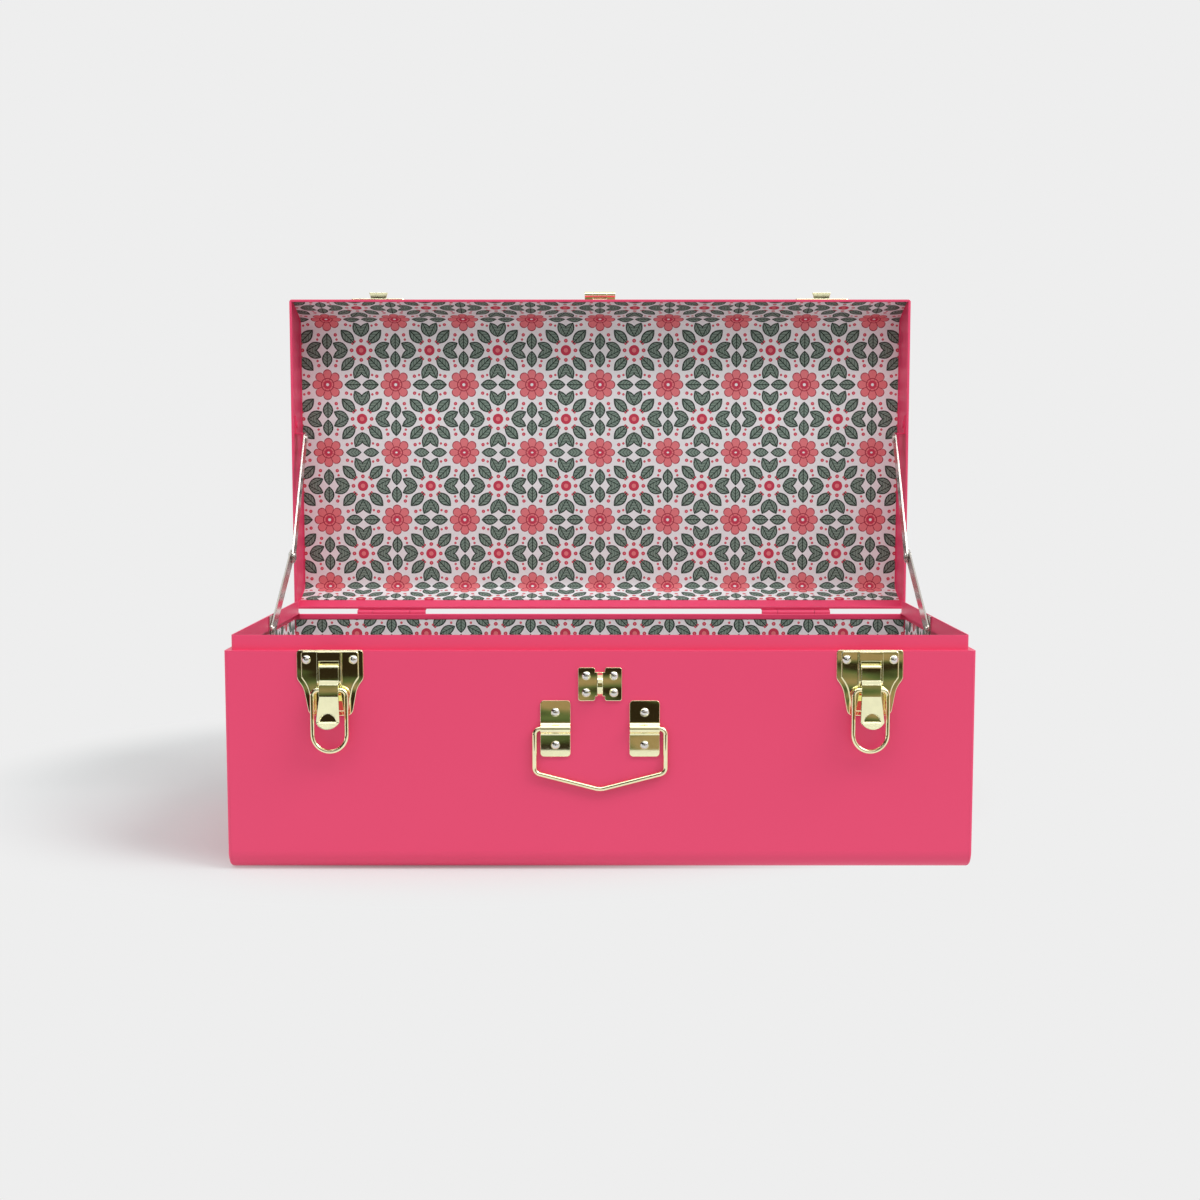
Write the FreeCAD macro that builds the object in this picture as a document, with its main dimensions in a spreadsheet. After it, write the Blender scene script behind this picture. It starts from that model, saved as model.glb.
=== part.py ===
import FreeCAD, Part
import math
import os

import Sketcher
from FreeCAD import Placement, Rotation, Vector

# A sheet-steel storage trunk, standing open. Millimetres, +Z up, front towards -Y.
# The origin is on the floor, under the middle of the body.
# What the lid carries is drawn with the lid shut and then swung open about the hinge pins.

SIZES = {
    # body
    "width": 600.0,
    "depth": 300.0,
    "shoulder_height": 178.0,
    "sheet": 1.0,
    "fold": 1.1,
    "bottom_bend": 15.0,
    "edge_bend": 2.5,
    "neck_height": 12.1,
    "neck_inset": 4.8,
    "back_drop": 1.0,
    "back_hem": 5.0,
    # lid
    "lid_gap": 0.8,
    "lid_height": 49.0,
    "lid_lean": 15.4,
    "rim_band": 5.5,
    "rim_hem": 4.0,
    "lid_bend": 10.0,
    # lining
    "card": 0.6,
    "glue": 0.1,
    "lining_drop": 6.6,
    "lid_lining_back": 21.0,
    # rivets and pins
    "rivet_head": 3.6,
    "rivet_rise": 2.0,
    "rivet_shank": 1.6,
    "running_fit": 0.06,
    "side_play": 0.35,
    "overrun": 2.0,
    # hinges
    "hinge_out": 3.8,
    "hinge_drop": 0.5,
    "hinge_left_inset": 95.5,
    "hinge_right_inset": 107.8,
    "hinge_length": 66.5,
    "end_knuckle": 15.0,
    "barrel": 3.15,
    "hinge_sheet": 1.5,
    "hinge_pin": 1.5,
    "body_leaf": 25.0,
    "lid_leaf": 22.0,
    "hinge_rivet_pitch": 22.0,
    # latches
    "latch_inset": 84.7,
    "plate_lift": 0.7,
    "plate_width": 53.2,
    "plate_waist": 42.6,
    "plate_foot": 34.4,
    "plate_height": 53.0,
    "plate_straight": 23.2,
    "plate_waist_drop": 30.8,
    "plate_shoulder_bend": 6.0,
    "plate_waist_bend": 20.0,
    "plate_border": 3.8,
    "plate_top_border": 0.9,
    "plate_base": 1.1,
    "plate_sheet": 2.2,
    "plate_edge": 0.5,
    "plate_crown": 0.8,
    "plate_corner": 2.5,
    "foot_corner": 5.5,
    "latch_rivet_side": 18.7,
    "latch_rivet_drop": 6.8,
    "cheek": 1.4,
    "cheek_top": 0.9,
    "cheek_height": 27.0,
    "cheek_rise": 7.7,
    "cheek_round": 4.0,
    "bridge": 7.4,
    "lever_width": 15.4,
    "lever_sheet": 1.4,
    "lever_pivot_out": 5.3,
    "lever_pivot_drop": 13.7,
    "lever_knuckle": 2.6,
    "lever_pin": 1.5,
    "lever_shank": 10.0,
    "hump_out": 2.9,
    "hump_ramp": 3.1,
    "hump_length": 9.4,
    "flare_drop": 19.5,
    "flare_out": 6.4,
    "lip_width": 18.8,
    "lip_drop": 5.2,
    "lip_out": 3.6,
    "dish_radius": 6.6,
    "dish_wall": 1.0,
    "bail_wire": 1.85,
    "bail_eye": 3.2,
    "bail_drop": 17.4,
    "bail_width": 30.9,
    "bail_length": 49.7,
    "bail_bend": 5.0,
    # keepers on the lid
    "keeper_width": 52.0,
    "keeper_height": 19.0,
    "keeper_sheet": 1.5,
    "hook_root": 13.3,
    "hook_tip": 17.6,
    "hook_reach": 7.6,
    "hook_up": 11.3,
    "hook_lip": 6.5,
    "keeper_rivet_up": 11.5,
    # hasp on the lid
    "hasp_width": 29.5,
    "hasp_sheet": 1.6,
    "hasp_out": 5.2,
    "hasp_knuckle": 2.6,
    "hasp_pin": 1.3,
    "hasp_end_knuckle": 8.0,
    "hasp_leaf_height": 17.0,
    "hasp_rivet_up": 11.0,
    "hasp_rivet_side": 9.5,
    "flap_width": 27.0,
    "flap_length": 48.0,
    "flap_corner": 9.0,
    "slot_width": 5.6,
    # staple plate
    "staple_width": 34.8,
    "staple_height": 26.8,
    "staple_middle": 26.75,
    "staple_neck_width": 7.8,
    "staple_neck_height": 19.3,
    "staple_sheet": 1.4,
    "staple_corner": 1.8,
    "staple_rivet_side": 11.0,
    "staple_rivet_up": 6.8,
    "eye_bore": 4.0,
    "eye_height": 18.8,
    "eye_width": 4.2,
    "eye_out": 6.8,
    "eye_nose": 13.1,
    # carry handle
    "bracket_side": 35.7,
    "bracket_width": 24.0,
    "bracket_height": 45.3,
    "bracket_sheet": 1.4,
    "bracket_corner": 3.0,
    "sleeve_foot": 1.7,
    "handle_drop": 62.6,
    "handle_rivet_up": 13.2,
    "handle_wire": 2.0,
    "handle_width": 109.0,
    "handle_leg": 35.7,
    "handle_fall": 49.3,
    "handle_bend": 4.6,
    "handle_corner": 5.5,
    "handle_vertex": 16.0,
    # folding stays
    "stay_sheet": 1.6,
    "stay_width": 13.0,
    "stay_gap": 0.4,
    "tab_width": 9.5,
    "stay_pin": 2.2,
    "stay_head": 4.2,
    "stay_cap": 1.2,
    "anchor_sheet": 1.2,
    "anchor_width": 13.0,
    "anchor_below": 8.0,
    "stay_reach": 147.8,
    "stay_drop": 0.6,
    "stay_lower": 111.5,
    "stay_upper": 132.0,
    "lid_pivot_out": 170.0,
    "lid_pivot_up": 17.0,
    "stay_foot": 18.0,
}


class Length:
    """A size worked out from the sheet: its number now and the expression that keeps it bound."""

    def __init__(self, number, text):
        self.number = number
        self.text = text

    def __add__(self, other):
        other = length(other)
        return Length(self.number + other.number, f"({self.text} + {other.text})")

    def __sub__(self, other):
        other = length(other)
        return Length(self.number - other.number, f"({self.text} - {other.text})")

    def __mul__(self, other):
        other = length(other)
        return Length(self.number * other.number, f"({self.text} * {other.text})")

    def __truediv__(self, other):
        other = length(other)
        return Length(self.number / other.number, f"({self.text} / {other.text})")

    def __neg__(self):
        return Length(-self.number, f"(0 - {self.text})")

    __radd__ = __add__
    __rmul__ = __mul__


def length(value):
    return value if isinstance(value, Length) else Length(float(value), str(value))


def root(value):
    return Length(math.sqrt(value.number), f"sqrt({value.text})")


class Sheet:
    """The spreadsheet of driving sizes, each read as an attribute."""

    def __init__(self, document, sizes):
        table = document.addObject("Spreadsheet::Sheet", "Sizes")
        for row, (name, value) in enumerate(sizes.items(), start=1):
            table.set(f"A{row}", name)
            table.set(f"B{row}", str(value))
            table.setAlias(f"B{row}", name)
            setattr(self, name, Length(value, f"Sizes.{name}"))


doc = FreeCAD.newDocument("StorageTrunk")
dim = Sheet(doc, SIZES)
doc.recompute()
ZERO = length(0)
PIECES = []

# Levels and faces that several pieces share
half_width = dim.width / 2
half_depth = dim.depth / 2
shoulder = dim.shoulder_height
neck_top = shoulder + dim.neck_height
neck_face = half_width - dim.neck_inset - dim.sheet
back_top = shoulder - dim.back_drop
rim = shoulder + dim.lid_gap
band_top = rim + dim.rim_band
lid_top = rim + dim.lid_height
hinge_y = half_depth + dim.hinge_out
hinge_z = shoulder - dim.hinge_drop
lining_top = shoulder - dim.lining_drop
lean_slope = dim.lid_lean / (dim.lid_height - dim.rim_band)
lean_secant = root(lean_slope * lean_slope + 1)
lean_angle = math.degrees(math.atan(lean_slope.number))
lining_half = half_width - dim.edge_bend - dim.glue
latch_side = half_width - dim.latch_inset
hinge_left = half_width - dim.hinge_left_inset
hinge_right = half_width - dim.hinge_right_inset
stay_y = hinge_y - dim.stay_reach

OPEN_LID = Placement(
    Vector(), Rotation(Vector(1, 0, 0), -90), Vector(0, hinge_y.number, hinge_z.number)
)
ALONG_X = Rotation(Vector(0, 1, 0), 90)


def vector(x, y, z):
    return Vector(length(x).number, length(y).number, length(z).number)


def keep(piece, label):
    piece.Label = label
    PIECES.append(piece)
    return piece


def new_body(label, place=None):
    made = doc.addObject("PartDesign::Body", label)
    made.Placement = place or Placement()
    return made


def origin(body, role):
    return next(f for f in body.Origin.OriginFeatures if f.Role == role)


def new_sketch(body, role, shift=ZERO):
    """An empty sketch on one of the body's origin planes, moved along that plane's normal."""
    made = body.newObject("Sketcher::SketchObject", "Sketch")
    made.AttachmentSupport = (origin(body, role), "")
    made.MapMode = "FlatFace"
    made.setExpression("AttachmentOffset.Base.z", shift.text)
    return made


def arc_between(start, end, radius, turn):
    """The short arc from start to end, turning left (1) or right (-1), as a sketch edge."""
    chord = end - start
    across = Vector(-chord.y, chord.x, 0) * (turn / chord.Length)
    rise = math.sqrt(max(radius**2 - (chord.Length / 2) ** 2, 0))
    centre = start + chord * 0.5 + across * rise
    first, last = (start, end) if turn > 0 else (end, start)
    angles = [math.atan2(p.y - centre.y, p.x - centre.x) for p in (first, last)]
    return Part.ArcOfCircle(Part.Circle(centre, Vector(0, 0, 1), radius), *angles)


def draw(sketch, path, closed=True):
    """Lines through (x, y) points, or an arc to (x, y, radius, turn), every corner bound to the sheet."""
    points = [vector(step[0], step[1], 0) for step in path]
    ends = list(range(1, len(path))) + ([0] if closed else [])
    edges = []
    bound = []
    for index, end in enumerate(ends):
        step = path[end]
        edge = sketch.GeometryCount
        if len(step) > 2:
            radius, turn = step[2:]
            sketch.addGeometry(arc_between(points[index], points[end], radius.number, turn), False)
            bound.append((Sketcher.Constraint("Radius", edge, radius.number), radius.text))
            edges.append((edge, 1, 2) if turn > 0 else (edge, 2, 1))
        else:
            sketch.addGeometry(Part.LineSegment(points[index], points[end]), False)
            edges.append((edge, 1, 2))
    joints = zip(edges, edges[1:] + edges[:1]) if closed else zip(edges, edges[1:])
    for (edge, _, tail), (following, head, _) in joints:
        bound.append((Sketcher.Constraint("Coincident", edge, tail, following, head), None))
    corners = [(edge, head, path[index]) for index, (edge, head, _) in enumerate(edges)]
    if not closed:
        corners.append((edges[-1][0], edges[-1][2], path[-1]))
    for edge, head, step in corners:
        for kind, axis, place in zip(("DistanceX", "DistanceY"), (-2, -1), map(length, step[:2])):
            if place.text == "0":
                bound.append((Sketcher.Constraint("PointOnObject", edge, head, axis), None))
            else:
                bound.append((Sketcher.Constraint(kind, edge, head, place.number), place.text))
    bind(sketch, bound)


def draw_circle(sketch, x, y, radius):
    edge = sketch.GeometryCount
    sketch.addGeometry(Part.Circle(vector(x, y, 0), Vector(0, 0, 1), radius.number), False)
    bound = [(Sketcher.Constraint("Radius", edge, radius.number), radius.text)]
    for kind, axis, place in zip(("DistanceX", "DistanceY"), (-2, -1), (length(x), length(y))):
        if place.text == "0":
            bound.append((Sketcher.Constraint("PointOnObject", edge, 3, axis), None))
        else:
            bound.append((Sketcher.Constraint(kind, edge, 3, place.number), place.text))
    bind(sketch, bound)


def bind(sketch, bound):
    first = sketch.ConstraintCount
    sketch.addConstraint([constraint for constraint, _ in bound])
    for index, (_, text) in enumerate(bound, start=first):
        if text:
            sketch.setExpression(f"Constraints[{index}]", text)


def rectangle(low_x, high_x, low_y, high_y):
    return [(low_x, low_y), (high_x, low_y), (high_x, high_y), (low_x, high_y)]


def extrude(body, sketch, depth, kind="Pad", both=False, back=False):
    made = body.newObject(f"PartDesign::{kind}", kind)
    made.Profile = sketch
    made.setExpression("Length", depth.text)
    made.SideType = "Symmetric" if both else "One side"
    made.Reversed = back
    return made


def solid(body, role, path, depth, shift=ZERO, both=False, back=False, kind="Pad"):
    sketch = new_sketch(body, role, shift)
    draw(sketch, path)
    return extrude(body, sketch, depth, kind, both, back)


def disc(body, role, x, y, radius, depth, shift=ZERO, both=False, back=False, kind="Pad"):
    sketch = new_sketch(body, role, shift)
    draw_circle(sketch, x, y, radius)
    return extrude(body, sketch, depth, kind, both, back)


def near(value, target):
    return abs(value - length(target).number) < 1e-4


def lies_at(edge, axis, target):
    """Whether a whole edge lies in the plane where one coordinate equals the target."""
    box = edge.BoundBox
    return near(getattr(box, f"{axis}Min"), target) and near(getattr(box, f"{axis}Max"), target)


def runs_along(edge, axis):
    box = edge.BoundBox
    return all(getattr(box, f"{other}Length") < 1e-4 for other in "XYZ" if other != axis)


def round_edges(body, radius, chosen):
    """Fillets the edges that chosen picks from the body's last feature."""
    doc.recompute()
    tip = body.Tip
    names = [f"Edge{i}" for i, edge in enumerate(tip.Shape.Edges, start=1) if chosen(edge)]
    made = body.newObject("PartDesign::Fillet", "Fillet")
    made.Base = (tip, names)
    made.setExpression("Radius", radius.text)
    return made


def mirror(body, features, role="YZ_Plane"):
    made = body.newObject("PartDesign::Mirrored", "Mirrored")
    made.Originals = features
    made.MirrorPlane = (origin(body, role), [""])
    body.Tip = made
    return made


def boolean(kind, label, base, tool):
    made = doc.addObject(f"Part::{kind}", label)
    made.Base = base
    made.Tool = tool
    return made


def group(label, pieces):
    made = doc.addObject("Part::Compound", label)
    made.Links = pieces
    return made


def drilled(label, base, fasteners):
    """A piece with the holes that its rivets fill."""
    return keep(boolean("Cut", label, base, group("Fasteners", fasteners)), label)


def new_box(low, high, place=None):
    made = doc.addObject("Part::Box", "Slice")
    for name, bottom, top in zip(("Length", "Width", "Height"), low, high):
        made.setExpression(name, (top - bottom).text)
    made.Placement = (place or Placement()) * Placement(vector(*low), Rotation())
    return made


def pin(label, centre, radius, reach, place=None):
    """A round pin along X, centred on a point."""
    made = doc.addObject("Part::Cylinder", label)
    made.setExpression("Radius", radius.text)
    made.setExpression("Height", reach.text)
    x, y, z = centre
    made.Placement = (place or Placement()) * Placement(vector(x - reach / 2, y, z), ALONG_X)
    return keep(made, label)


def rivets(label, place, plate, first, second):
    """Domed rivets through a plate and the sheet behind it, in rows given as (axis, count, span)."""
    body = new_body(label, place)
    dome = (dim.rivet_head * dim.rivet_head + dim.rivet_rise * dim.rivet_rise) / (dim.rivet_rise * 2)
    sketch = new_sketch(body, "YZ_Plane")
    profile = [
        (dim.sheet, 0),
        (dim.sheet, dim.rivet_shank),
        (-plate, dim.rivet_shank),
        (-plate, dim.rivet_head),
        (-(plate + dim.rivet_rise), 0, dome, 1),
    ]
    draw(sketch, profile)
    turned = body.newObject("PartDesign::Revolution", "Revolution")
    turned.Profile = sketch
    turned.ReferenceAxis = (origin(body, "Y_Axis"), [""])
    rows = body.newObject("PartDesign::LinearPattern", "LinearPattern")
    rows.Originals = [turned]
    for mark, (axis, count, span) in zip(("", "2"), (first, second)):
        setattr(rows, f"Direction{mark}", (origin(body, f"{axis}_Axis"), [""]))
        setattr(rows, f"Occurrences{mark}", count)
        rows.setExpression(f"Length{mark}", span.text)
    body.Tip = rows
    return keep(body, label)


def stay_rivets(label, place, stem, inner, outer, head, sunk=False):
    """A pair of round rivets along X, one at each end wall, headed on the inside or sunk flush there."""
    body = new_body(label, place)
    sketch = new_sketch(body, "XY_Plane")
    raised = [(inner, stem), (inner, head), (inner - dim.stay_cap, head), (inner - dim.stay_cap, 0)]
    flush = [(inner + dim.anchor_sheet, stem), (inner, head), (inner, 0)]
    draw(sketch, [(outer, 0), (outer, stem)] + (flush if sunk else raised))
    turned = body.newObject("PartDesign::Revolution", "Revolution")
    turned.Profile = sketch
    turned.ReferenceAxis = (origin(body, "X_Axis"), [""])
    mirror(body, [turned])
    return keep(body, label)


def lid_line(inset):
    """Where a line inside the lid's skin bends: its side, the knee's height, the top corner's place."""
    knee = band_top - inset * (lean_secant - 1) / lean_slope
    rise = dim.lid_height - dim.rim_band - inset
    return half_depth - inset, knee, half_depth - inset * lean_secant - rise * lean_slope, lid_top - inset


def lid_bend_ends(inset):
    """Where the bend between a leaning wall and the top begins and ends, and its radius."""
    _, _, corner_side, top = lid_line(inset)
    radius = dim.lid_bend - inset
    run = radius * (lean_secant - lean_slope)
    wall_end = (corner_side + run * lean_slope / lean_secant, top - run / lean_secant)
    return wall_end, (corner_side - run, top), radius


def lean_side(inset, height):
    """How far a line inside the lid's leaning wall lies from the middle at a given height."""
    return half_depth - inset * lean_secant - (height - band_top) * lean_slope


def trunk_shell():
    """The whole body's skin: floor, walls, shoulder and neck, before it is divided into sheets."""
    body = new_body("trunk_shell")
    bend = dim.bottom_bend

    def tub(inset, top):
        corner = bend - inset
        return [
            (bend - half_depth, inset, corner, 1),
            (half_depth - bend, inset),
            (half_depth - inset, bend, corner, 1),
            (half_depth - inset, top),
            (inset - half_depth, top),
            (inset - half_depth, bend),
        ]

    solid(body, "YZ_Plane", tub(ZERO, shoulder), dim.width, both=True)

    def outer_end(edge):
        at_end = lies_at(edge, "X", half_width) or lies_at(edge, "X", -half_width)
        return at_end and not lies_at(edge, "Z", shoulder)

    round_edges(body, dim.edge_bend, outer_end)
    neck_x = half_width - dim.neck_inset
    neck_y = half_depth - dim.neck_inset
    solid(body, "XY_Plane", rectangle(-neck_x, neck_x, -neck_y, neck_y), dim.neck_height, shift=shoulder)

    def neck_corner(edge):
        return runs_along(edge, "Z") and edge.BoundBox.ZMax > shoulder.number + 1e-3

    round_edges(body, dim.edge_bend, neck_corner)
    inside = dim.width - dim.sheet * 2
    solid(body, "YZ_Plane", tub(dim.sheet, shoulder - dim.sheet), inside, both=True, kind="Pocket")

    def inner_end(edge):
        wall = half_width - dim.sheet
        at_end = lies_at(edge, "X", wall) or lies_at(edge, "X", -wall)
        return at_end and not lies_at(edge, "Z", shoulder - dim.sheet)

    round_edges(body, dim.edge_bend - dim.sheet, inner_end)
    mouth = rectangle(-neck_face, neck_face, dim.sheet - neck_y, half_depth - dim.sheet)
    reach = (dim.neck_height + dim.overrun) * 2
    solid(body, "XY_Plane", mouth, reach, shift=shoulder, both=True, kind="Pocket")
    lip = (dim.sheet + dim.fold) / 2
    inner_back = half_depth - lip * 2
    gap = rectangle(-neck_face, neck_face, inner_back, half_depth + dim.overrun)
    solid(body, "XY_Plane", gap, (dim.back_drop + lip) * 2, shift=shoulder, both=True, kind="Pocket")
    hem = [
        (inner_back, back_top - dim.back_hem),
        (half_depth, back_top - dim.back_hem),
        (half_depth, back_top - lip),
        (inner_back, back_top - lip, lip, 1),
    ]
    solid(body, "YZ_Plane", hem, neck_face * 2, both=True)
    return body


def body_sheets(fasteners, end_rivets):
    """Divides the body's skin into the bent wrap and the two end panels."""
    shell = trunk_shell()
    cutters = {}
    for name, side in (("left", -1), ("right", 1)):
        slices = []
        for inner, low in ((half_width - dim.edge_bend, -dim.overrun), (neck_face, shoulder - dim.sheet)):
            sides = sorted((inner * side, (half_width + dim.overrun) * side), key=lambda x: x.number)
            back = half_depth + dim.overrun
            low_corner = (sides[0], -back, low)
            high_corner = (sides[1], back, neck_top + dim.overrun)
            slices.append(new_box(low_corner, high_corner))
        cutters[name] = boolean("Fuse", f"end_slice_{name}", *slices)
        panel = boolean("Common", f"end_panel_{name}", shell, cutters[name])
        drilled(f"body_end_{name}", panel, end_rivets)
    wrap = boolean("Cut", "wrap_sheet", shell, group("end_slices", list(cutters.values())))
    drilled("body_wrap", wrap, fasteners)


def body_linings():
    bend = dim.bottom_bend
    outer = dim.sheet + dim.glue
    inner = outer + dim.card
    body = new_body("body_lining_wrap")
    path = [
        (outer - half_depth, lining_top),
        (outer - half_depth, bend),
        (bend - half_depth, outer, bend - outer, 1),
        (half_depth - bend, outer),
        (half_depth - outer, bend, bend - outer, 1),
        (half_depth - outer, lining_top),
        (half_depth - inner, lining_top),
        (half_depth - inner, bend),
        (half_depth - bend, inner, bend - inner, -1),
        (bend - half_depth, inner),
        (inner - half_depth, bend, bend - inner, -1),
        (inner - half_depth, lining_top),
    ]
    solid(body, "YZ_Plane", path, lining_half * 2, both=True)
    keep(body, "body_lining_wrap")
    edge = dim.edge_bend + dim.glue
    corner = bend - edge
    panel = [
        (bend - half_depth, edge, corner, 1),
        (half_depth - bend, edge),
        (half_depth - edge, bend, corner, 1),
        (half_depth - edge, lining_top),
        (edge - half_depth, lining_top),
        (edge - half_depth, bend),
    ]
    for name, side in (("left", -1), ("right", 1)):
        body = new_body(f"body_lining_{name}")
        face = (half_width - outer) * side
        solid(body, "YZ_Plane", panel, dim.card, shift=face, back=side > 0)
        keep(body, f"body_lining_{name}")


def lid_shell():
    """The whole lid's skin with its folded rim, before it is divided into sheets."""
    body = new_body("lid_shell", OPEN_LID)

    def roof(inset, bottom):
        side, knee, _, _ = lid_line(inset)
        (wall_y, wall_z), (top_y, top_z), radius = lid_bend_ends(inset)
        return [
            (-side, bottom),
            (side, bottom),
            (side, knee),
            (wall_y, wall_z),
            (top_y, top_z, radius, 1),
            (-top_y, top_z),
            (-wall_y, wall_z, radius, 1),
            (-side, knee),
        ]

    def end_edges(wall, level):
        def chosen(edge):
            at_end = lies_at(edge, "X", wall) or lies_at(edge, "X", -wall)
            return at_end and not lies_at(edge, "Z", level)

        return chosen

    solid(body, "YZ_Plane", roof(ZERO, rim), dim.width, both=True)
    round_edges(body, dim.edge_bend, end_edges(half_width, rim))
    inside = dim.width - dim.sheet * 2
    solid(body, "YZ_Plane", roof(dim.sheet, rim - dim.overrun), inside, both=True, kind="Pocket")
    round_edges(body, dim.edge_bend - dim.sheet, end_edges(half_width - dim.sheet, rim))
    hem = new_sketch(body, "XY_Plane", rim)
    for inset in (dim.sheet, dim.sheet + dim.fold):
        across = half_width - inset
        along = half_depth - inset
        draw(hem, rectangle(-across, across, -along, along))
    extrude(body, hem, dim.rim_hem)
    return body


def lid_sheets(fasteners, end_rivets):
    """Divides the lid's skin into the bent wrap and the two end walls."""
    shell = lid_shell()
    slices = []
    for name, side in (("left", -1), ("right", 1)):
        near_side = (half_width - dim.edge_bend) * side
        sides = sorted((near_side, (half_width + dim.overrun) * side), key=lambda x: x.number)
        back = half_depth + dim.overrun
        low = (sides[0], -back, rim - dim.overrun)
        high = (sides[1], back, lid_top + dim.overrun)
        slices.append(new_box(low, high, OPEN_LID))
        panel = boolean("Common", f"lid_panel_{name}", shell, slices[-1])
        drilled(f"lid_end_{name}", panel, end_rivets)
    wrap = boolean("Cut", "lid_sheet", shell, group("lid_slices", slices))
    drilled("lid_wrap", wrap, fasteners)


def lid_lining():
    body = new_body("lid_lining", OPEN_LID)
    outer = dim.sheet + dim.glue
    inner = outer + dim.card
    side, knee, _, _ = lid_line(outer)
    in_side, in_knee, _, _ = lid_line(inner)
    (wall_y, wall_z), (top_y, top_z), radius = lid_bend_ends(outer)
    (in_wall_y, in_wall_z), (in_top_y, in_top_z), in_radius = lid_bend_ends(inner)
    front = rim + dim.rim_hem + dim.glue
    back = rim + dim.lid_lining_back
    path = [
        (-side, front),
        (-in_side, front),
        (-in_side, in_knee),
        (-in_wall_y, in_wall_z),
        (-in_top_y, in_top_z, in_radius, -1),
        (in_top_y, in_top_z),
        (in_wall_y, in_wall_z, in_radius, -1),
        (lean_side(inner, back), back),
        (lean_side(outer, back), back),
        (wall_y, wall_z),
        (top_y, top_z, radius, 1),
        (-top_y, top_z),
        (-wall_y, wall_z, radius, 1),
        (-side, knee),
    ]
    solid(body, "YZ_Plane", path, lining_half * 2, both=True)
    keep(body, "lid_lining")


def knuckle(body, centre_y, centre_z, radius, start, reach, web):
    """A hinge knuckle along X and the web, as a path in its section, that joins it to its leaf."""
    made = [disc(body, "YZ_Plane", centre_y, centre_z, radius, reach, shift=start)]
    made.append(solid(body, "YZ_Plane", web, reach, shift=start))
    return made


def hinges():
    """Two butt hinges outside the back: the body leaf has the end knuckles, the lid leaf the middle one."""
    clear = dim.barrel + dim.side_play
    bore = dim.hinge_pin + dim.running_fit
    web_y = hinge_y - dim.barrel
    face = half_depth + dim.hinge_sheet
    middle = dim.hinge_length - (dim.end_knuckle + dim.side_play) * 2
    reach = dim.hinge_length + dim.overrun
    pitch = dim.hinge_rivet_pitch * 2
    between = hinge_left + hinge_right
    body_rivet_z = hinge_z - clear - (dim.body_leaf - clear) / 2
    turned = Rotation(Vector(0, 0, 1), 180)
    start = hinge_right + dim.hinge_rivet_pitch
    body_place = Placement(vector(start, half_depth, body_rivet_z), turned)
    body_rivets = rivets("hinge_body_rivets", body_place, dim.hinge_sheet, ("X", 3, pitch), ("X", 2, between))
    lean_up = band_top + dim.lid_leaf / lean_secant / 2
    lean_rotation = turned * Rotation(Vector(1, 0, 0), -lean_angle)
    lid_place = OPEN_LID * Placement(vector(start, lean_side(ZERO, lean_up), lean_up), lean_rotation)
    lid_rivets = rivets("hinge_lid_rivets", lid_place, dim.hinge_sheet, ("X", 3, pitch), ("X", 2, between))
    for name, x in (("left", -hinge_left), ("right", hinge_right)):
        here = Placement(vector(x, 0, 0), Rotation())
        body = new_body(f"body_leaf_{name}", here)
        low = hinge_z - dim.body_leaf
        leaf = rectangle(half_depth, face, low, hinge_z - clear)
        solid(body, "YZ_Plane", leaf, dim.hinge_length, both=True)
        web = rectangle(web_y, web_y + dim.hinge_sheet, hinge_z - clear - dim.hinge_sheet, hinge_z)
        start_x = -dim.hinge_length / 2
        made = knuckle(body, hinge_y, hinge_z, dim.barrel, start_x, dim.end_knuckle, web)
        mirror(body, made)
        disc(body, "YZ_Plane", hinge_y, hinge_z, bore, reach, both=True, kind="Pocket")
        drilled(f"hinge_body_leaf_{name}", body, [body_rivets])
        body = new_body(f"lid_leaf_{name}", OPEN_LID * here)
        reach_up = dim.lid_leaf / lean_secant
        end = band_top + reach_up
        outer_knee = band_top + dim.hinge_sheet * (lean_secant - 1) / lean_slope
        thick_z = dim.hinge_sheet * lean_slope / lean_secant
        thick_y = dim.hinge_sheet / lean_secant
        path = [
            (half_depth, hinge_z + clear),
            (face, hinge_z + clear),
            (face, outer_knee),
            (lean_side(ZERO, end) + thick_y, end + thick_z),
            (lean_side(ZERO, end), end),
            (half_depth, band_top),
        ]
        solid(body, "YZ_Plane", path, dim.hinge_length, both=True)
        disc(body, "YZ_Plane", hinge_y, hinge_z, dim.barrel, middle, both=True)
        web = rectangle(web_y, web_y + dim.hinge_sheet, hinge_z, hinge_z + clear + dim.hinge_sheet)
        solid(body, "YZ_Plane", web, middle, both=True)
        disc(body, "YZ_Plane", hinge_y, hinge_z, bore, reach, both=True, kind="Pocket")
        drilled(f"hinge_lid_leaf_{name}", body, [lid_rivets])
        pin(f"hinge_pin_{name}", (x, hinge_y, hinge_z), dim.hinge_pin, dim.hinge_length)
    return body_rivets, lid_rivets


def plate_outline(inset, top):
    """A latch plate's outline, or a line a given distance inside it: wide above, drawn in below."""
    top_half = dim.plate_width / 2
    waist_half = dim.plate_waist / 2
    drop = dim.plate_waist_drop
    taper = (top_half - waist_half) / (drop - dim.plate_straight)
    taper_secant = root(taper * taper + 1)
    draft = (waist_half - dim.plate_foot / 2) / (dim.plate_height - drop)
    draft_secant = root(draft * draft + 1)
    side = top_half - inset
    bend = dim.plate_straight - inset * (taper_secant - 1) / taper
    lift = inset * (taper_secant - draft_secant) / (taper - draft)
    waist = waist_half + lift * draft - inset * draft_secant
    bottom = dim.plate_height - inset
    foot = waist_half - (bottom - drop) * draft - inset * draft_secant
    return [
        (-foot, -bottom),
        (foot, -bottom),
        (waist, lift - drop),
        (side, -bend),
        (side, -top),
        (-side, -top),
        (-side, -bend),
        (-waist, lift - drop),
    ]


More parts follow.
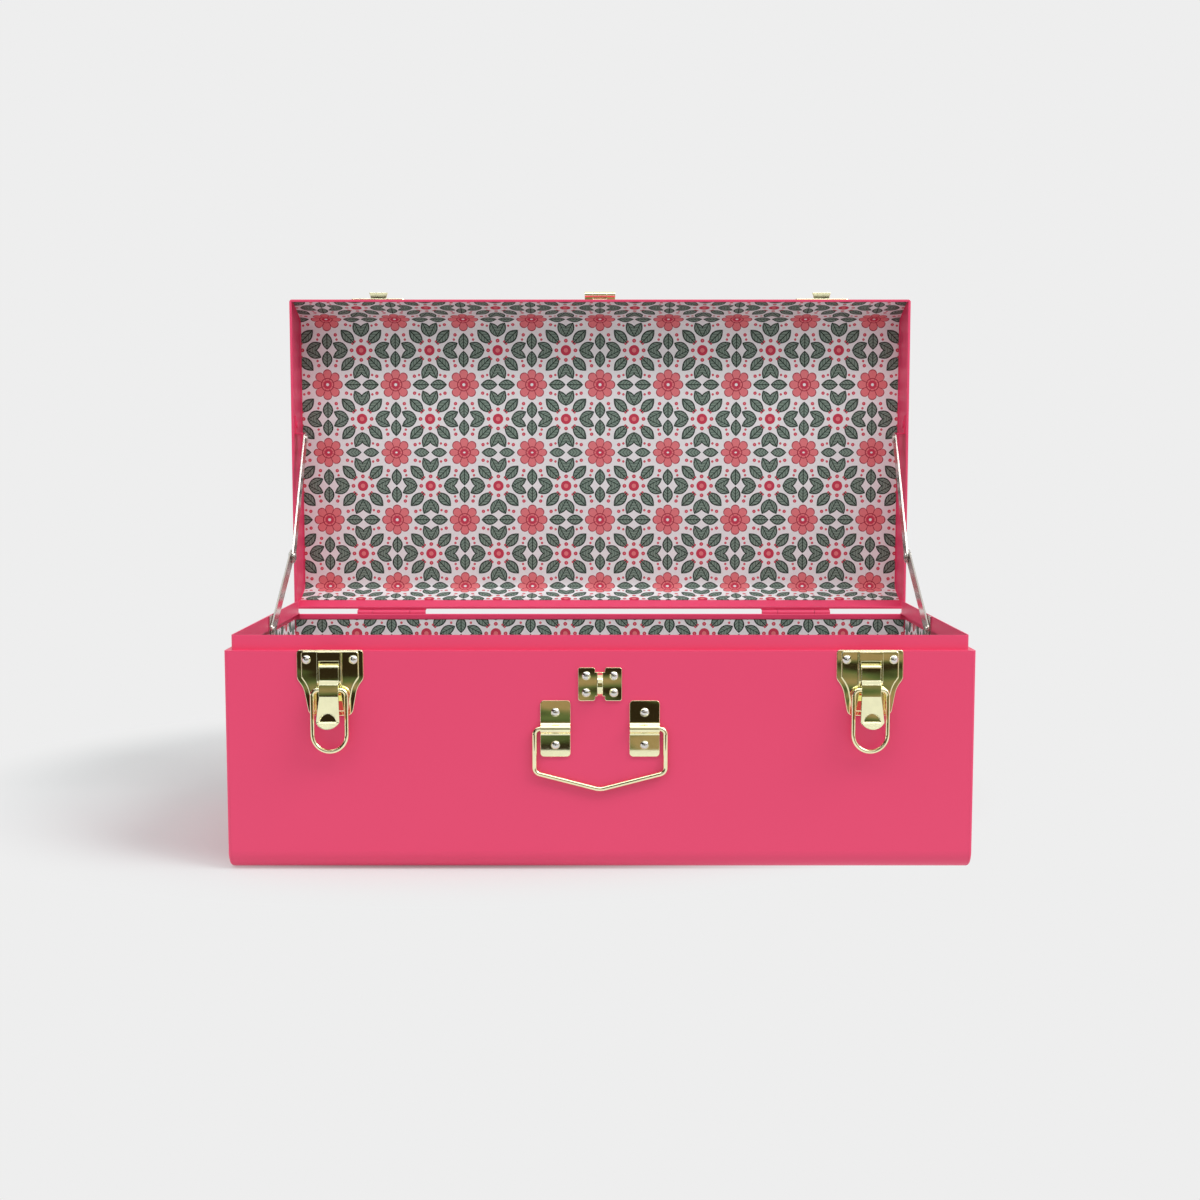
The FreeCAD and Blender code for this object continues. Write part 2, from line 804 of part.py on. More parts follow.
def latch_plate(name, place, fasteners):
    """A stamped plate with a raised middle, two cheeks and a bridge for the lever."""
    body = new_body(f"plate_{name}", place)
    layers = (
        (ZERO, ZERO, ZERO, dim.plate_base),
        (dim.plate_border, dim.plate_top_border, dim.plate_base, dim.plate_sheet),
    )
    for inset, top, back, front in layers:
        path = plate_outline(inset, top)
        solid(body, "XZ_Plane", path, front - back, shift=back)
        bends = (
            (path[0][1], dim.foot_corner - inset),
            (path[2][1], dim.plate_waist_bend + inset),
            (path[3][1], dim.plate_shoulder_bend - inset),
            (path[4][1], dim.plate_corner),
        )

        def outer(edge):
            return runs_along(edge, "Y") and near(edge.BoundBox.YMin, -front)

        for height, radius in bends:
            round_edges(body, radius, lambda e: outer(e) and lies_at(e, "Z", height))
        rim_radius = dim.plate_edge if near(back.number, 0) else dim.plate_crown
        round_edges(body, rim_radius, lambda e: lies_at(e, "Y", -front))
    cheek_in = dim.lever_width / 2 + dim.side_play
    cheek_low = dim.cheek_top + dim.cheek_height
    side = rectangle(-dim.cheek_rise, -dim.plate_base, -cheek_low, -dim.cheek_top)
    cheek = solid(body, "YZ_Plane", side, dim.cheek, shift=cheek_in)
    mirror(body, [cheek])
    cheek_out = cheek_in + dim.cheek
    bridge = rectangle(-cheek_out, cheek_out, -dim.cheek_top - dim.bridge, -dim.cheek_top)
    solid(body, "XZ_Plane", bridge, dim.cheek, shift=dim.cheek_rise - dim.cheek)

    def cheek_foot(edge):
        outside = lies_at(edge, "Y", -dim.cheek_rise) and lies_at(edge, "Z", -cheek_low)
        return outside and runs_along(edge, "X")

    round_edges(body, dim.cheek_round, cheek_foot)
    reach = cheek_out * 2 + dim.overrun
    at = (-dim.lever_pivot_out, -dim.lever_pivot_drop)
    disc(body, "YZ_Plane", *at, dim.lever_pin, reach, both=True, kind="Pocket")
    drilled(f"latch_plate_{name}", body, fasteners)
    centre = (ZERO, *at)
    pin(f"latch_pin_{name}", centre, dim.lever_pin, cheek_out * 2, place)


def half_round(radius, middle):
    """The upper half of a circle, from right to left."""
    return [(radius, middle), (0, middle + radius, radius, 1), (-radius, middle, radius, 1)]


def latch_lever(name, place):
    """A bent strip hung on the pin: shank, hump over the bail's eye, then a flare to a dished thumb lip."""
    body = new_body(f"latch_lever_{name}", place)
    thick = dim.lever_sheet
    start = -dim.lever_pivot_drop
    face = -(dim.lever_pivot_out + dim.lever_knuckle)
    hump = face - dim.hump_out
    flare = hump - dim.flare_out
    lip = flare - dim.lip_out
    ramp_top = start - dim.lever_shank
    hump_top = ramp_top - dim.hump_ramp
    hump_low = hump_top - dim.hump_length
    lip_top = hump_low - dim.flare_drop
    lip_end = lip_top - dim.lip_drop
    slant = dim.flare_out / dim.flare_drop
    cup_floor = hump - (dim.flare_drop - dim.dish_radius) * slant
    cup_half = dim.dish_radius + dim.dish_wall
    cup_low = lip_top - dim.dish_wall
    cup = [(-cup_half, cup_low), (cup_half, cup_low)] + half_round(cup_half, lip_top)
    cup_back = -cup_floor - thick
    solid(body, "XZ_Plane", cup, -flare - cup_back, shift=cup_back)
    ahead = [
        (hump, hump_low),
        (flare, lip_top),
        (flare, lip_top - dim.dish_wall * 2),
        (flare - dim.overrun, lip_top - dim.dish_wall * 2),
        (flare - dim.overrun, hump_low),
    ]
    solid(body, "YZ_Plane", ahead, dim.lip_width, both=True, kind="Pocket")
    path = [
        (face, start),
        (face, ramp_top),
        (hump, hump_top),
        (hump, hump_low),
        (flare, lip_top),
        (lip, lip_end),
        (lip + thick, lip_end),
        (flare + thick, lip_top),
        (hump + thick, hump_low),
        (hump + thick, hump_top),
        (face + thick, ramp_top - thick),
        (face + thick, start),
    ]
    solid(body, "YZ_Plane", path, dim.lip_width, both=True)
    half = dim.lever_width / 2
    lip_half = dim.lip_width / 2
    tip_radius = (lip_half * lip_half + dim.lip_drop * dim.lip_drop) / (dim.lip_drop * 2)
    wide = lip_half + dim.overrun
    waste = [
        (half, start + dim.overrun),
        (half, hump_low),
        (lip_half, lip_top),
        (0, lip_end, tip_radius, -1),
        (0, lip_end - dim.overrun),
        (wide, lip_end - dim.overrun),
        (wide, start + dim.overrun),
    ]
    side = solid(body, "XZ_Plane", waste, (dim.overrun - lip) * 2, both=True, kind="Pocket")
    mirror(body, [side])
    dish = half_round(dim.dish_radius, lip_top)
    solid(body, "XZ_Plane", dish, dim.flare_out + dim.lip_out, shift=-cup_floor, back=True, kind="Pocket")
    disc(body, "YZ_Plane", -dim.lever_pivot_out, start, dim.lever_knuckle, dim.lever_width, both=True)
    eye_y = hump + dim.bail_eye
    eye_z = start - dim.bail_drop
    disc(body, "YZ_Plane", eye_y, eye_z, dim.bail_eye, dim.lever_width, both=True)
    reach = dim.lever_width + dim.overrun
    fit = dim.running_fit
    disc(body, "YZ_Plane", -dim.lever_pivot_out, start, dim.lever_pin + fit, reach, both=True, kind="Pocket")
    disc(body, "YZ_Plane", eye_y, eye_z, dim.bail_wire + fit, reach, both=True, kind="Pocket")
    keep(body, f"latch_lever_{name}")
    return eye_y, eye_z


def latch_bail(name, place, eye_y, eye_z):
    """A closed wire loop through the lever's eye, swept for one half and mirrored."""
    body = new_body(f"latch_bail_{name}", place)
    half = dim.bail_width / 2 - dim.bail_wire
    low = eye_z - dim.bail_length
    path = new_sketch(body, "XZ_Plane", -eye_y)
    steps = [
        (0, eye_z),
        (half - dim.bail_bend, eye_z),
        (half, eye_z - dim.bail_bend, dim.bail_bend, -1),
        (half, low + half),
        (0, low, half, -1),
    ]
    draw(path, steps, closed=False)
    section = new_sketch(body, "YZ_Plane")
    draw_circle(section, eye_y, eye_z, dim.bail_wire)
    keep(swept(body, section, path), f"latch_bail_{name}")


def swept(body, section, path):
    """Sweeps a wire's section along half its route and mirrors it."""
    wire = body.newObject("PartDesign::AdditivePipe", "AdditivePipe")
    wire.Profile = section
    wire.Spine = path
    mirror(body, [wire])
    return body


def latches():
    pair = ("X", 2, dim.latch_rivet_side * 2)
    apart = ("X", 2, latch_side * 2)
    first = vector(-latch_side - dim.latch_rivet_side, -half_depth, shoulder - dim.latch_rivet_drop)
    fasteners = rivets("latch_rivets", Placement(first, Rotation()), dim.plate_sheet, pair, apart)
    for name, side in (("left", -1), ("right", 1)):
        place = Placement(vector(latch_side * side, -half_depth, shoulder + dim.plate_lift), Rotation())
        latch_plate(name, place, [fasteners])
        eye = latch_lever(name, place)
        latch_bail(name, place, *eye)
    return fasteners


def keepers():
    """Two plates on the lid's leaning front, each with a flared hook for a bail."""
    lean = Rotation(Vector(1, 0, 0), -lean_angle)
    rivet_z = band_top + dim.keeper_rivet_up / lean_secant
    first = vector(-latch_side - dim.latch_rivet_side, -lean_side(ZERO, rivet_z), rivet_z)
    pair = ("X", 2, dim.latch_rivet_side * 2)
    apart = ("X", 2, latch_side * 2)
    fasteners = rivets("keeper_rivets", OPEN_LID * Placement(first, lean), dim.keeper_sheet, pair, apart)
    thick_y = dim.keeper_sheet / lean_secant
    thick_z = dim.keeper_sheet * lean_slope / lean_secant
    end = band_top + dim.keeper_height / lean_secant
    hook_low = rim + dim.hook_up
    root_y = -lean_side(ZERO, hook_low)
    tip_y = -half_depth - dim.hook_reach
    for name, side in (("left", -1), ("right", 1)):
        body = new_body(f"hook_{name}", OPEN_LID * Placement(vector(latch_side * side, 0, 0), Rotation()))
        path = [
            (-half_depth, band_top),
            (-lean_side(ZERO, end), end),
            (-lean_side(ZERO, end) - thick_y, end + thick_z),
            (-half_depth - thick_y, band_top + thick_z),
        ]
        solid(body, "YZ_Plane", path, dim.keeper_width, both=True)

        def corner(edge):
            box = edge.BoundBox
            return box.XLength < 1e-4 and box.YLength < dim.keeper_sheet.number

        round_edges(body, dim.plate_corner, corner)
        root_half = dim.hook_root / 2
        tip_half = dim.hook_tip / 2
        ledge = [
            (-tip_half, tip_y),
            (tip_half, tip_y),
            (root_half, root_y - thick_y / 2),
            (-root_half, root_y - thick_y / 2),
        ]
        solid(body, "XY_Plane", ledge, dim.keeper_sheet, shift=hook_low)
        lip = rectangle(-tip_half, tip_half, hook_low, hook_low + dim.hook_lip)
        solid(body, "XZ_Plane", lip, dim.keeper_sheet, shift=-tip_y - dim.keeper_sheet)

        def lip_corner(edge):
            return runs_along(edge, "Y") and lies_at(edge, "Z", hook_low + dim.hook_lip)

        round_edges(body, dim.plate_corner, lip_corner)
        drilled(f"keeper_{name}", body, [fasteners])
    return fasteners


def hasp():
    """A leaf on the lid's leaning front and a slotted flap, lying folded back over the leaf."""
    axis_y = -half_depth - dim.hasp_out
    axis_z = band_top
    lean = Rotation(Vector(1, 0, 0), -lean_angle)
    rivet_z = band_top + dim.hasp_rivet_up / lean_secant
    first = vector(-dim.hasp_rivet_side, -lean_side(ZERO, rivet_z), rivet_z)
    pair = ("X", 2, dim.hasp_rivet_side * 2)
    single = ("Z", 1, dim.hasp_rivet_up)
    fasteners = rivets("hasp_rivets", OPEN_LID * Placement(first, lean), dim.hasp_sheet, pair, single)
    thick_y = dim.hasp_sheet / lean_secant
    thick_z = dim.hasp_sheet * lean_slope / lean_secant
    end = band_top + dim.hasp_leaf_height / lean_secant
    bore = dim.hasp_pin + dim.running_fit
    reach = dim.hasp_width + dim.overrun
    leaf = new_body("hasp_plate", OPEN_LID)
    path = [
        (-half_depth, band_top),
        (-lean_side(ZERO, end), end),
        (-lean_side(ZERO, end) - thick_y, end + thick_z),
        (-half_depth - thick_y, band_top + thick_z),
    ]
    solid(leaf, "YZ_Plane", path, dim.hasp_width, both=True)
    low = axis_z - dim.hasp_sheet / 2
    arm = rectangle(axis_y, -half_depth, low, low + dim.hasp_sheet)
    start = -dim.hasp_width / 2
    made = knuckle(leaf, axis_y, axis_z, dim.hasp_knuckle, start, dim.hasp_end_knuckle, arm)
    mirror(leaf, made)
    disc(leaf, "YZ_Plane", axis_y, axis_z, bore, reach, both=True, kind="Pocket")
    drilled("hasp_leaf", leaf, [fasteners])
    pin("hasp_pin", (ZERO, axis_y, axis_z), dim.hasp_pin, dim.hasp_width, OPEN_LID)

    folded = Placement(vector(0, axis_y, axis_z), lean)
    flap = new_body("hasp_flap", OPEN_LID * folded)
    half = dim.flap_width / 2
    edge = dim.hasp_knuckle + dim.side_play
    strip = rectangle(-half, half, edge, dim.flap_length)
    solid(flap, "XZ_Plane", strip, dim.hasp_sheet, both=True)

    def tip(e):
        return runs_along(e, "Y") and lies_at(e, "Z", dim.flap_length)

    round_edges(flap, dim.flap_corner, tip)
    middle = dim.hasp_width - (dim.hasp_end_knuckle + dim.side_play) * 2
    disc(flap, "YZ_Plane", 0, 0, dim.hasp_knuckle, middle, both=True)
    tongue = rectangle(-middle / 2, middle / 2, ZERO, edge + dim.hasp_sheet)
    solid(flap, "XZ_Plane", tongue, dim.hasp_sheet, both=True)
    disc(flap, "YZ_Plane", 0, 0, bore, reach, both=True, kind="Pocket")
    low, high = slot_range()
    half_slot = dim.slot_width / 2
    slot = rectangle(-half_slot, half_slot, low, high)
    solid(flap, "XZ_Plane", slot, dim.hasp_sheet * 2, both=True, kind="Pocket")
    keep(flap, "hasp_flap")
    return fasteners


def slot_range():
    """How near to and far from the hasp's pin the padlock eye passes through the flap."""
    axis_z = band_top
    eye_z = shoulder - dim.staple_middle
    outer = dim.eye_height / 2
    step = dim.eye_out - dim.hasp_out
    fall = axis_z - eye_z
    apart = root(step * step + fall * fall)
    return apart - outer - dim.side_play * 2, apart + outer + dim.side_play * 2


def staple():
    """A butterfly plate with a round padlock eye standing on its neck."""
    place = Placement(vector(0, -half_depth, shoulder - dim.staple_middle), Rotation())
    first = Placement(vector(-dim.staple_rivet_side, 0, -dim.staple_rivet_up), Rotation())
    across = ("X", 2, dim.staple_rivet_side * 2)
    up = ("Z", 2, dim.staple_rivet_up * 2)
    fasteners = rivets("staple_rivets", place * first, dim.staple_sheet, across, up)
    body = new_body("butterfly_plate", place)
    half = dim.staple_width / 2
    tall = dim.staple_height / 2
    neck = dim.staple_neck_width / 2
    waist = dim.staple_neck_height / 2
    path = [
        (-half, -tall),
        (-neck, -tall),
        (-neck, -waist),
        (neck, -waist),
        (neck, -tall),
        (half, -tall),
        (half, tall),
        (neck, tall),
        (neck, waist),
        (-neck, waist),
        (-neck, tall),
        (-half, tall),
    ]
    solid(body, "XZ_Plane", path, dim.staple_sheet)

    def leaf_corner(edge):
        return runs_along(edge, "Y") and not lies_at(edge, "Z", waist) and not lies_at(edge, "Z", -waist)

    round_edges(body, dim.staple_corner, leaf_corner)
    nose = dim.eye_height / 2
    lug = [
        (ZERO, -nose),
        (ZERO, nose),
        (nose - dim.eye_nose, nose),
        (-dim.eye_nose, 0, nose, 1),
        (nose - dim.eye_nose, -nose, nose, 1),
    ]
    solid(body, "YZ_Plane", lug, dim.eye_width, both=True)
    through = dim.eye_width + dim.overrun
    disc(body, "YZ_Plane", -dim.eye_out, 0, dim.eye_bore, through, both=True, kind="Pocket")
    drilled("staple_plate", body, [fasteners])
    return fasteners


def carry_handle():
    """Two strap brackets with a half-round sleeve each, and the bent wire handle that turns in them."""
    axis_z = shoulder - dim.handle_drop
    out = dim.handle_wire + dim.side_play
    first = vector(-dim.bracket_side, -half_depth, axis_z - dim.handle_rivet_up)
    up = ("Z", 2, dim.handle_rivet_up * 2)
    across = ("X", 2, dim.bracket_side * 2)
    fasteners = rivets("handle_rivets", Placement(first, Rotation()), dim.bracket_sheet, up, across)
    for name, side in (("left", -1), ("right", 1)):
        place = Placement(vector(dim.bracket_side * side, -half_depth, axis_z), Rotation())
        body = new_body(f"strap_{name}", place)
        half = dim.bracket_width / 2
        tall = dim.bracket_height / 2
        solid(body, "XZ_Plane", rectangle(-half, half, -tall, tall), dim.bracket_sheet)
        round_edges(body, dim.bracket_corner, lambda e: runs_along(e, "Y"))
        bore = dim.handle_wire + dim.running_fit
        sleeve = bore + dim.bracket_sheet
        hood = [
            (ZERO, -sleeve),
            (ZERO, sleeve),
            (-out, sleeve),
            (-out - sleeve, 0, sleeve, 1),
            (-out, -sleeve, sleeve, 1),
        ]
        solid(body, "YZ_Plane", hood, dim.bracket_width, both=True)

        def sleeve_side(edge):
            low = lies_at(edge, "Z", sleeve) or lies_at(edge, "Z", -sleeve)
            return low and runs_along(edge, "X") and lies_at(edge, "Y", -dim.bracket_sheet)

        round_edges(body, dim.sleeve_foot, sleeve_side)
        channel = [
            (dim.overrun, -bore),
            (dim.overrun, bore),
            (-out, bore),
            (-out - bore, 0, bore, 1),
            (-out, -bore, bore, 1),
        ]
        reach = dim.bracket_width + dim.overrun
        solid(body, "YZ_Plane", channel, reach, both=True, kind="Pocket")
        drilled(f"handle_bracket_{name}", body, [fasteners])

    body = new_body("carry_handle", Placement(vector(0, -half_depth - out, axis_z), Rotation()))
    leg_x = dim.handle_width / 2 - dim.handle_wire
    end_x = dim.bracket_side - dim.bracket_width / 2
    slope = (dim.handle_fall - dim.handle_leg) / leg_x
    secant = root(slope * slope + 1)
    corner = dim.handle_corner
    corner_run = corner * (secant - slope)
    vertex_run = dim.handle_vertex * slope
    path = new_sketch(body, "XZ_Plane")
    steps = [
        (end_x, 0),
        (leg_x - dim.handle_bend, 0),
        (leg_x, -dim.handle_bend, dim.handle_bend, -1),
        (leg_x, -dim.handle_leg + corner_run),
        (leg_x - corner_run / secant, -dim.handle_leg - corner_run * slope / secant, corner, -1),
        (vertex_run / secant, -dim.handle_fall + vertex_run * slope / secant),
        (0, -dim.handle_fall + dim.handle_vertex * (secant - 1), dim.handle_vertex, -1),
    ]
    draw(path, steps, closed=False)
    section = new_sketch(body, "YZ_Plane", end_x)
    draw_circle(section, 0, 0, dim.handle_wire)
    keep(swept(body, section, path), "carry_handle")
    return fasteners


def stay_elbow(lid_y, lid_z):
    """Where the two links of a stay meet while the lid stands open, on the hinge's side."""
    body_y = stay_y
    body_z = shoulder - dim.stay_drop
    run = lid_y - body_y
    rise = lid_z - body_z
    apart = root(run * run + rise * rise)
    lower = dim.stay_lower * dim.stay_lower
    along = (lower - dim.stay_upper * dim.stay_upper + apart * apart) / (apart * 2)
    aside = root(lower - along * along)
    elbow_y = body_y + (run * along + rise * aside) / apart
    elbow_z = body_z + (rise * along - run * aside) / apart
    return elbow_y, elbow_z


def link(label, side, inner_x, start, end, reach, cap_inside):
    """One flat link of a stay, round at both ends: a hole at its pivot, a pressed cap at its elbow."""
    angle = math.degrees(math.atan2((end[1] - start[1]).number, (end[0] - start[0]).number))
    body = new_body(label, Placement(vector(0, *start), Rotation(Vector(1, 0, 0), angle)))
    half = dim.stay_width / 2
    slot = [
        (ZERO, -half),
        (reach, -half),
        (reach + half, 0, half, 1),
        (reach, half, half, 1),
        (ZERO, half),
        (-half, 0, half, 1),
    ]
    slot[0] = (ZERO, -half, half, 1)
    face = inner_x * side
    solid(body, "YZ_Plane", slot, dim.stay_sheet, shift=face, back=side < 0)
    cap_face = face if cap_inside else (inner_x + dim.stay_sheet) * side
    inward = cap_inside == (side > 0)
    disc(body, "YZ_Plane", reach, 0, dim.stay_head, dim.stay_cap, shift=cap_face, back=inward)
    bore = dim.stay_pin + dim.running_fit
    cut = (inner_x + dim.stay_sheet * 2) * 2
    disc(body, "YZ_Plane", 0, 0, bore, cut, both=True, kind="Pocket")
    keep(body, label)


def stays():
    """A folding stay at each end: anchor plate, two links and the lid's cranked bracket."""
    anchor_in = neck_face - dim.anchor_sheet
    lower_in = anchor_in - dim.stay_gap - dim.stay_sheet
    upper_in = lower_in - dim.stay_gap - dim.stay_sheet
    tab_in = upper_in + dim.stay_sheet + dim.stay_gap
    wall = half_width - dim.sheet
    body_z = shoulder - dim.stay_drop
    shut_y = hinge_y - dim.lid_pivot_out
    shut_z = rim + dim.lid_pivot_up
    lid_y = hinge_y + (shut_z - hinge_z)
    lid_z = hinge_z + dim.lid_pivot_out
    elbow = stay_elbow(lid_y, lid_z)

    anchor_rivet = (shoulder + neck_top) / 2
    here = Placement(vector(0, stay_y, anchor_rivet), Rotation())
    outside = half_width - dim.neck_inset
    anchor_head = dim.rivet_shank + dim.anchor_sheet
    anchor_rivets = stay_rivets(
        "stay_anchor_rivets", here, dim.rivet_shank, anchor_in, outside, anchor_head, sunk=True
    )
    here = Placement(vector(0, stay_y, body_z), Rotation())
    body_pins = stay_rivets("stay_body_pins", here, dim.stay_pin, lower_in, neck_face, dim.stay_head)
    foot_y = shut_y - dim.tab_width / 2 - dim.stay_foot / 2
    here = OPEN_LID * Placement(vector(0, foot_y, shut_z), Rotation())
    foot_in = wall - dim.anchor_sheet
    bracket_rivets = stay_rivets(
        "stay_bracket_rivets", here, dim.rivet_shank, foot_in, half_width, dim.rivet_head
    )
    here = OPEN_LID * Placement(vector(0, shut_y, shut_z), Rotation())
    tab_out = tab_in + dim.anchor_sheet
    lid_pins = stay_rivets("stay_lid_pins", here, dim.stay_pin, upper_in, tab_out, dim.stay_head)

    for name, side in (("left", -1), ("right", 1)):
        body = new_body(f"anchor_{name}")
        half = dim.anchor_width / 2
        low = body_z - dim.anchor_below
        plate = rectangle(stay_y - half, stay_y + half, low, neck_top - dim.side_play)
        solid(body, "YZ_Plane", plate, dim.anchor_sheet, shift=anchor_in * side, back=side < 0)
        drilled(f"stay_anchor_{name}", body, [anchor_rivets, body_pins])

        body = new_body(f"crank_{name}", OPEN_LID)
        half = dim.tab_width / 2
        web_y = shut_y - half
        tab_end = shut_y + half
        foot_end = web_y - dim.stay_foot
        path = [
            (tab_in * side, tab_end),
            (tab_in * side, web_y - dim.anchor_sheet),
            (foot_in * side, web_y - dim.anchor_sheet),
            (foot_in * side, foot_end),
            (wall * side, foot_end),
            (wall * side, web_y),
            (tab_out * side, web_y),
            (tab_out * side, tab_end),
        ]
        solid(body, "XY_Plane", path, dim.tab_width, shift=shut_z - half)
        drilled(f"stay_bracket_{name}", body, [bracket_rivets, lid_pins])

        start = (stay_y, body_z)
        link(f"stay_lower_{name}", side, lower_in, start, elbow, dim.stay_lower, False)
        link(f"stay_upper_{name}", side, upper_in, (lid_y, lid_z), elbow, dim.stay_upper, True)
    return anchor_rivets, bracket_rivets


def main():
    front = [latches(), staple(), carry_handle()]
    body_hinge_rivets, lid_hinge_rivets = hinges()
    lid_front = [keepers(), hasp()]
    anchor_rivets, bracket_rivets = stays()
    body_sheets(front + [body_hinge_rivets], [anchor_rivets])
    lid_sheets(lid_front + [lid_hinge_rivets], [bracket_rivets])
    body_linings()
    lid_lining()
    doc.recompute()
    failed = [thing for thing in doc.Objects if {"Invalid", "Error"} & set(thing.State)]
    if failed:
        owners = [thing.getParentGeoFeatureGroup() or thing for thing in failed]
        raise RuntimeError("failed: " + ", ".join(f"{o.Label}/{t.Label}" for o, t in zip(owners, failed)))
    for piece in PIECES:
        if piece.Shape.isNull() or not piece.Shape.isValid():
            raise RuntimeError(f"{piece.Label} has no valid shape")
    os.makedirs("parts", exist_ok=True)
    for piece in PIECES:
        piece.Shape.exportStep(f"parts/{piece.Label}.step")


main()
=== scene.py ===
import math

import bpy
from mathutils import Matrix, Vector


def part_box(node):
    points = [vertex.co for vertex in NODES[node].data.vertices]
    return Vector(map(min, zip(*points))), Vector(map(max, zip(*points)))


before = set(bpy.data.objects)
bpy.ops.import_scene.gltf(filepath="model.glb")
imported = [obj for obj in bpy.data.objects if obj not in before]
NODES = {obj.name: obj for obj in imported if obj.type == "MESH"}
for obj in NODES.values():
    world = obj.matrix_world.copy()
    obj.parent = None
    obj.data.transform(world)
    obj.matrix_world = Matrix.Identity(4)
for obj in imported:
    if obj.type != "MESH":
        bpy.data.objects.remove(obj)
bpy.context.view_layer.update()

bl_info = {
    "name": "Storage trunk finish",
    "version": (1, 0, 0),
    "blender": (4, 5, 0),
    "location": "View3D > Sidebar > Trunk",
    "description": "Enamel, brass plate, nickel and printed card for a sheet-steel storage trunk",
    "category": "Object",
}

SIDES = ("left", "right")

HINGES = ("hinge_body_leaf", "hinge_lid_leaf", "hinge_pin")
LATCHES = ("latch_plate", "latch_pin", "latch_lever", "latch_bail", "keeper")
COATED_RIVETS = ("hinge_body_rivets", "hinge_lid_rivets", "stay_bracket_rivets")
COATED_PAIRS = ("body_end", "lid_end", *HINGES, "stay_bracket")
ENAMELLED = ["body_wrap", "lid_wrap", *COATED_RIVETS] + [
    f"{piece}_{side}" for piece in COATED_PAIRS for side in SIDES
]
BRASS_PLATED = ["staple_plate", "carry_handle", "hasp_leaf", "hasp_pin", "hasp_flap"] + [
    f"{piece}_{side}" for piece in (*LATCHES, "handle_bracket") for side in SIDES
]
RIVETED = ("latch", "staple", "handle", "keeper", "hasp", "stay_anchor")
RIVETS = [f"{piece}_rivets" for piece in RIVETED]
NICKELLED = ["stay_body_pins", "stay_lid_pins"] + [
    f"{piece}_{side}" for piece in ("stay_anchor", "stay_lower", "stay_upper") for side in SIDES
]


def linear(hex_colour):
    """A colour written as sRGB hex, as the linear values that shaders take."""
    parts = [int(hex_colour[i : i + 2], 16) / 255 for i in (1, 3, 5)]
    return tuple(c / 12.92 if c <= 0.04045 else ((c + 0.055) / 1.055) ** 2.4 for c in parts)


def add(tree, kind, *inputs, **settings):
    """Adds a node, sets it, and fills its inputs in order, or by name where they come as a dict.

    An input is a value, a socket, or another node, which stands for its first output.
    """
    node = tree.nodes.new(kind)
    for name, value in settings.items():
        setattr(node, name, value)
    if inputs and isinstance(inputs[0], dict):
        pairs = [(node.inputs[name], value) for name, value in inputs[0].items()]
    else:
        pairs = zip([socket for socket in node.inputs if socket.enabled], inputs)
    for socket, value in pairs:
        if isinstance(value, bpy.types.Node):
            value = next(output for output in value.outputs if output.enabled)
        if isinstance(value, bpy.types.NodeSocket):
            tree.links.new(value, socket)
        elif value is not None:
            socket.default_value = value
    return node


def new_material(name):
    """A material with an empty node tree."""
    material = bpy.data.materials.new(name)
    material.use_nodes = True
    material.node_tree.nodes.clear()
    return material, material.node_tree


def rgba(colour):
    """A linear colour with the opaque fourth value that sockets take."""
    return (*colour, 1.0)


def finish_nodes(names, material):
    """Gives CAD nodes their finish."""
    for name in names:
        piece = NODES[name]
        if not piece.material_slots:
            piece.data.materials.append(material)
        for slot in piece.material_slots:
            slot.material = material


class EnamelSettings(bpy.types.PropertyGroup):
    colour: bpy.props.FloatVectorProperty(
        name="Enamel colour", description="Powder coat of the sheets", subtype="COLOR",
        default=linear("#EA436F"),
    )
    roughness: bpy.props.FloatProperty(
        name="Roughness", description="Satin of the baked coat", subtype="FACTOR", min=0, max=1,
        default=0.42,
    )
    peel: bpy.props.FloatProperty(
        name="Orange peel", description="Width of a ripple in the coat", unit="LENGTH",
        default=0.0022,
    )
    edge: bpy.props.FloatProperty(
        name="Coated edge", description="Radius that the coat leaves along a sheet's edges",
        unit="LENGTH", default=0.0006,
    )


class MetalSettings(bpy.types.PropertyGroup):
    brass: bpy.props.FloatVectorProperty(
        name="Brass colour", description="Plating of latches, hasp and handle", subtype="COLOR",
        default=linear("#FFFCD0"),
    )
    brass_roughness: bpy.props.FloatProperty(
        name="Brass roughness", description="Polish of the brass plate", subtype="FACTOR",
        min=0, max=1, default=0.02,
    )
    rivet: bpy.props.FloatVectorProperty(
        name="Rivet colour", description="Polished rivet heads", subtype="COLOR",
        default=linear("#E4E2DE"),
    )
    nickel: bpy.props.FloatVectorProperty(
        name="Nickel colour", description="Plating of the lid stays", subtype="COLOR",
        default=linear("#DAD6CE"),
    )
    edge: bpy.props.FloatProperty(
        name="Rolled edge", description="Radius that stamping leaves along a plate's edges",
        unit="LENGTH", default=0.0007,
    )
    cloud: bpy.props.FloatProperty(
        name="Clouding", description="Width of a faint cloud in the polish", unit="LENGTH",
        default=0.008,
    )
    wipe: bpy.props.FloatVectorProperty(
        name="Wiping mark", description="Length, width and depth of a mark left by wiping",
        subtype="XYZ", unit="LENGTH", default=(0.0045, 0.0011, 0.0006),
    )


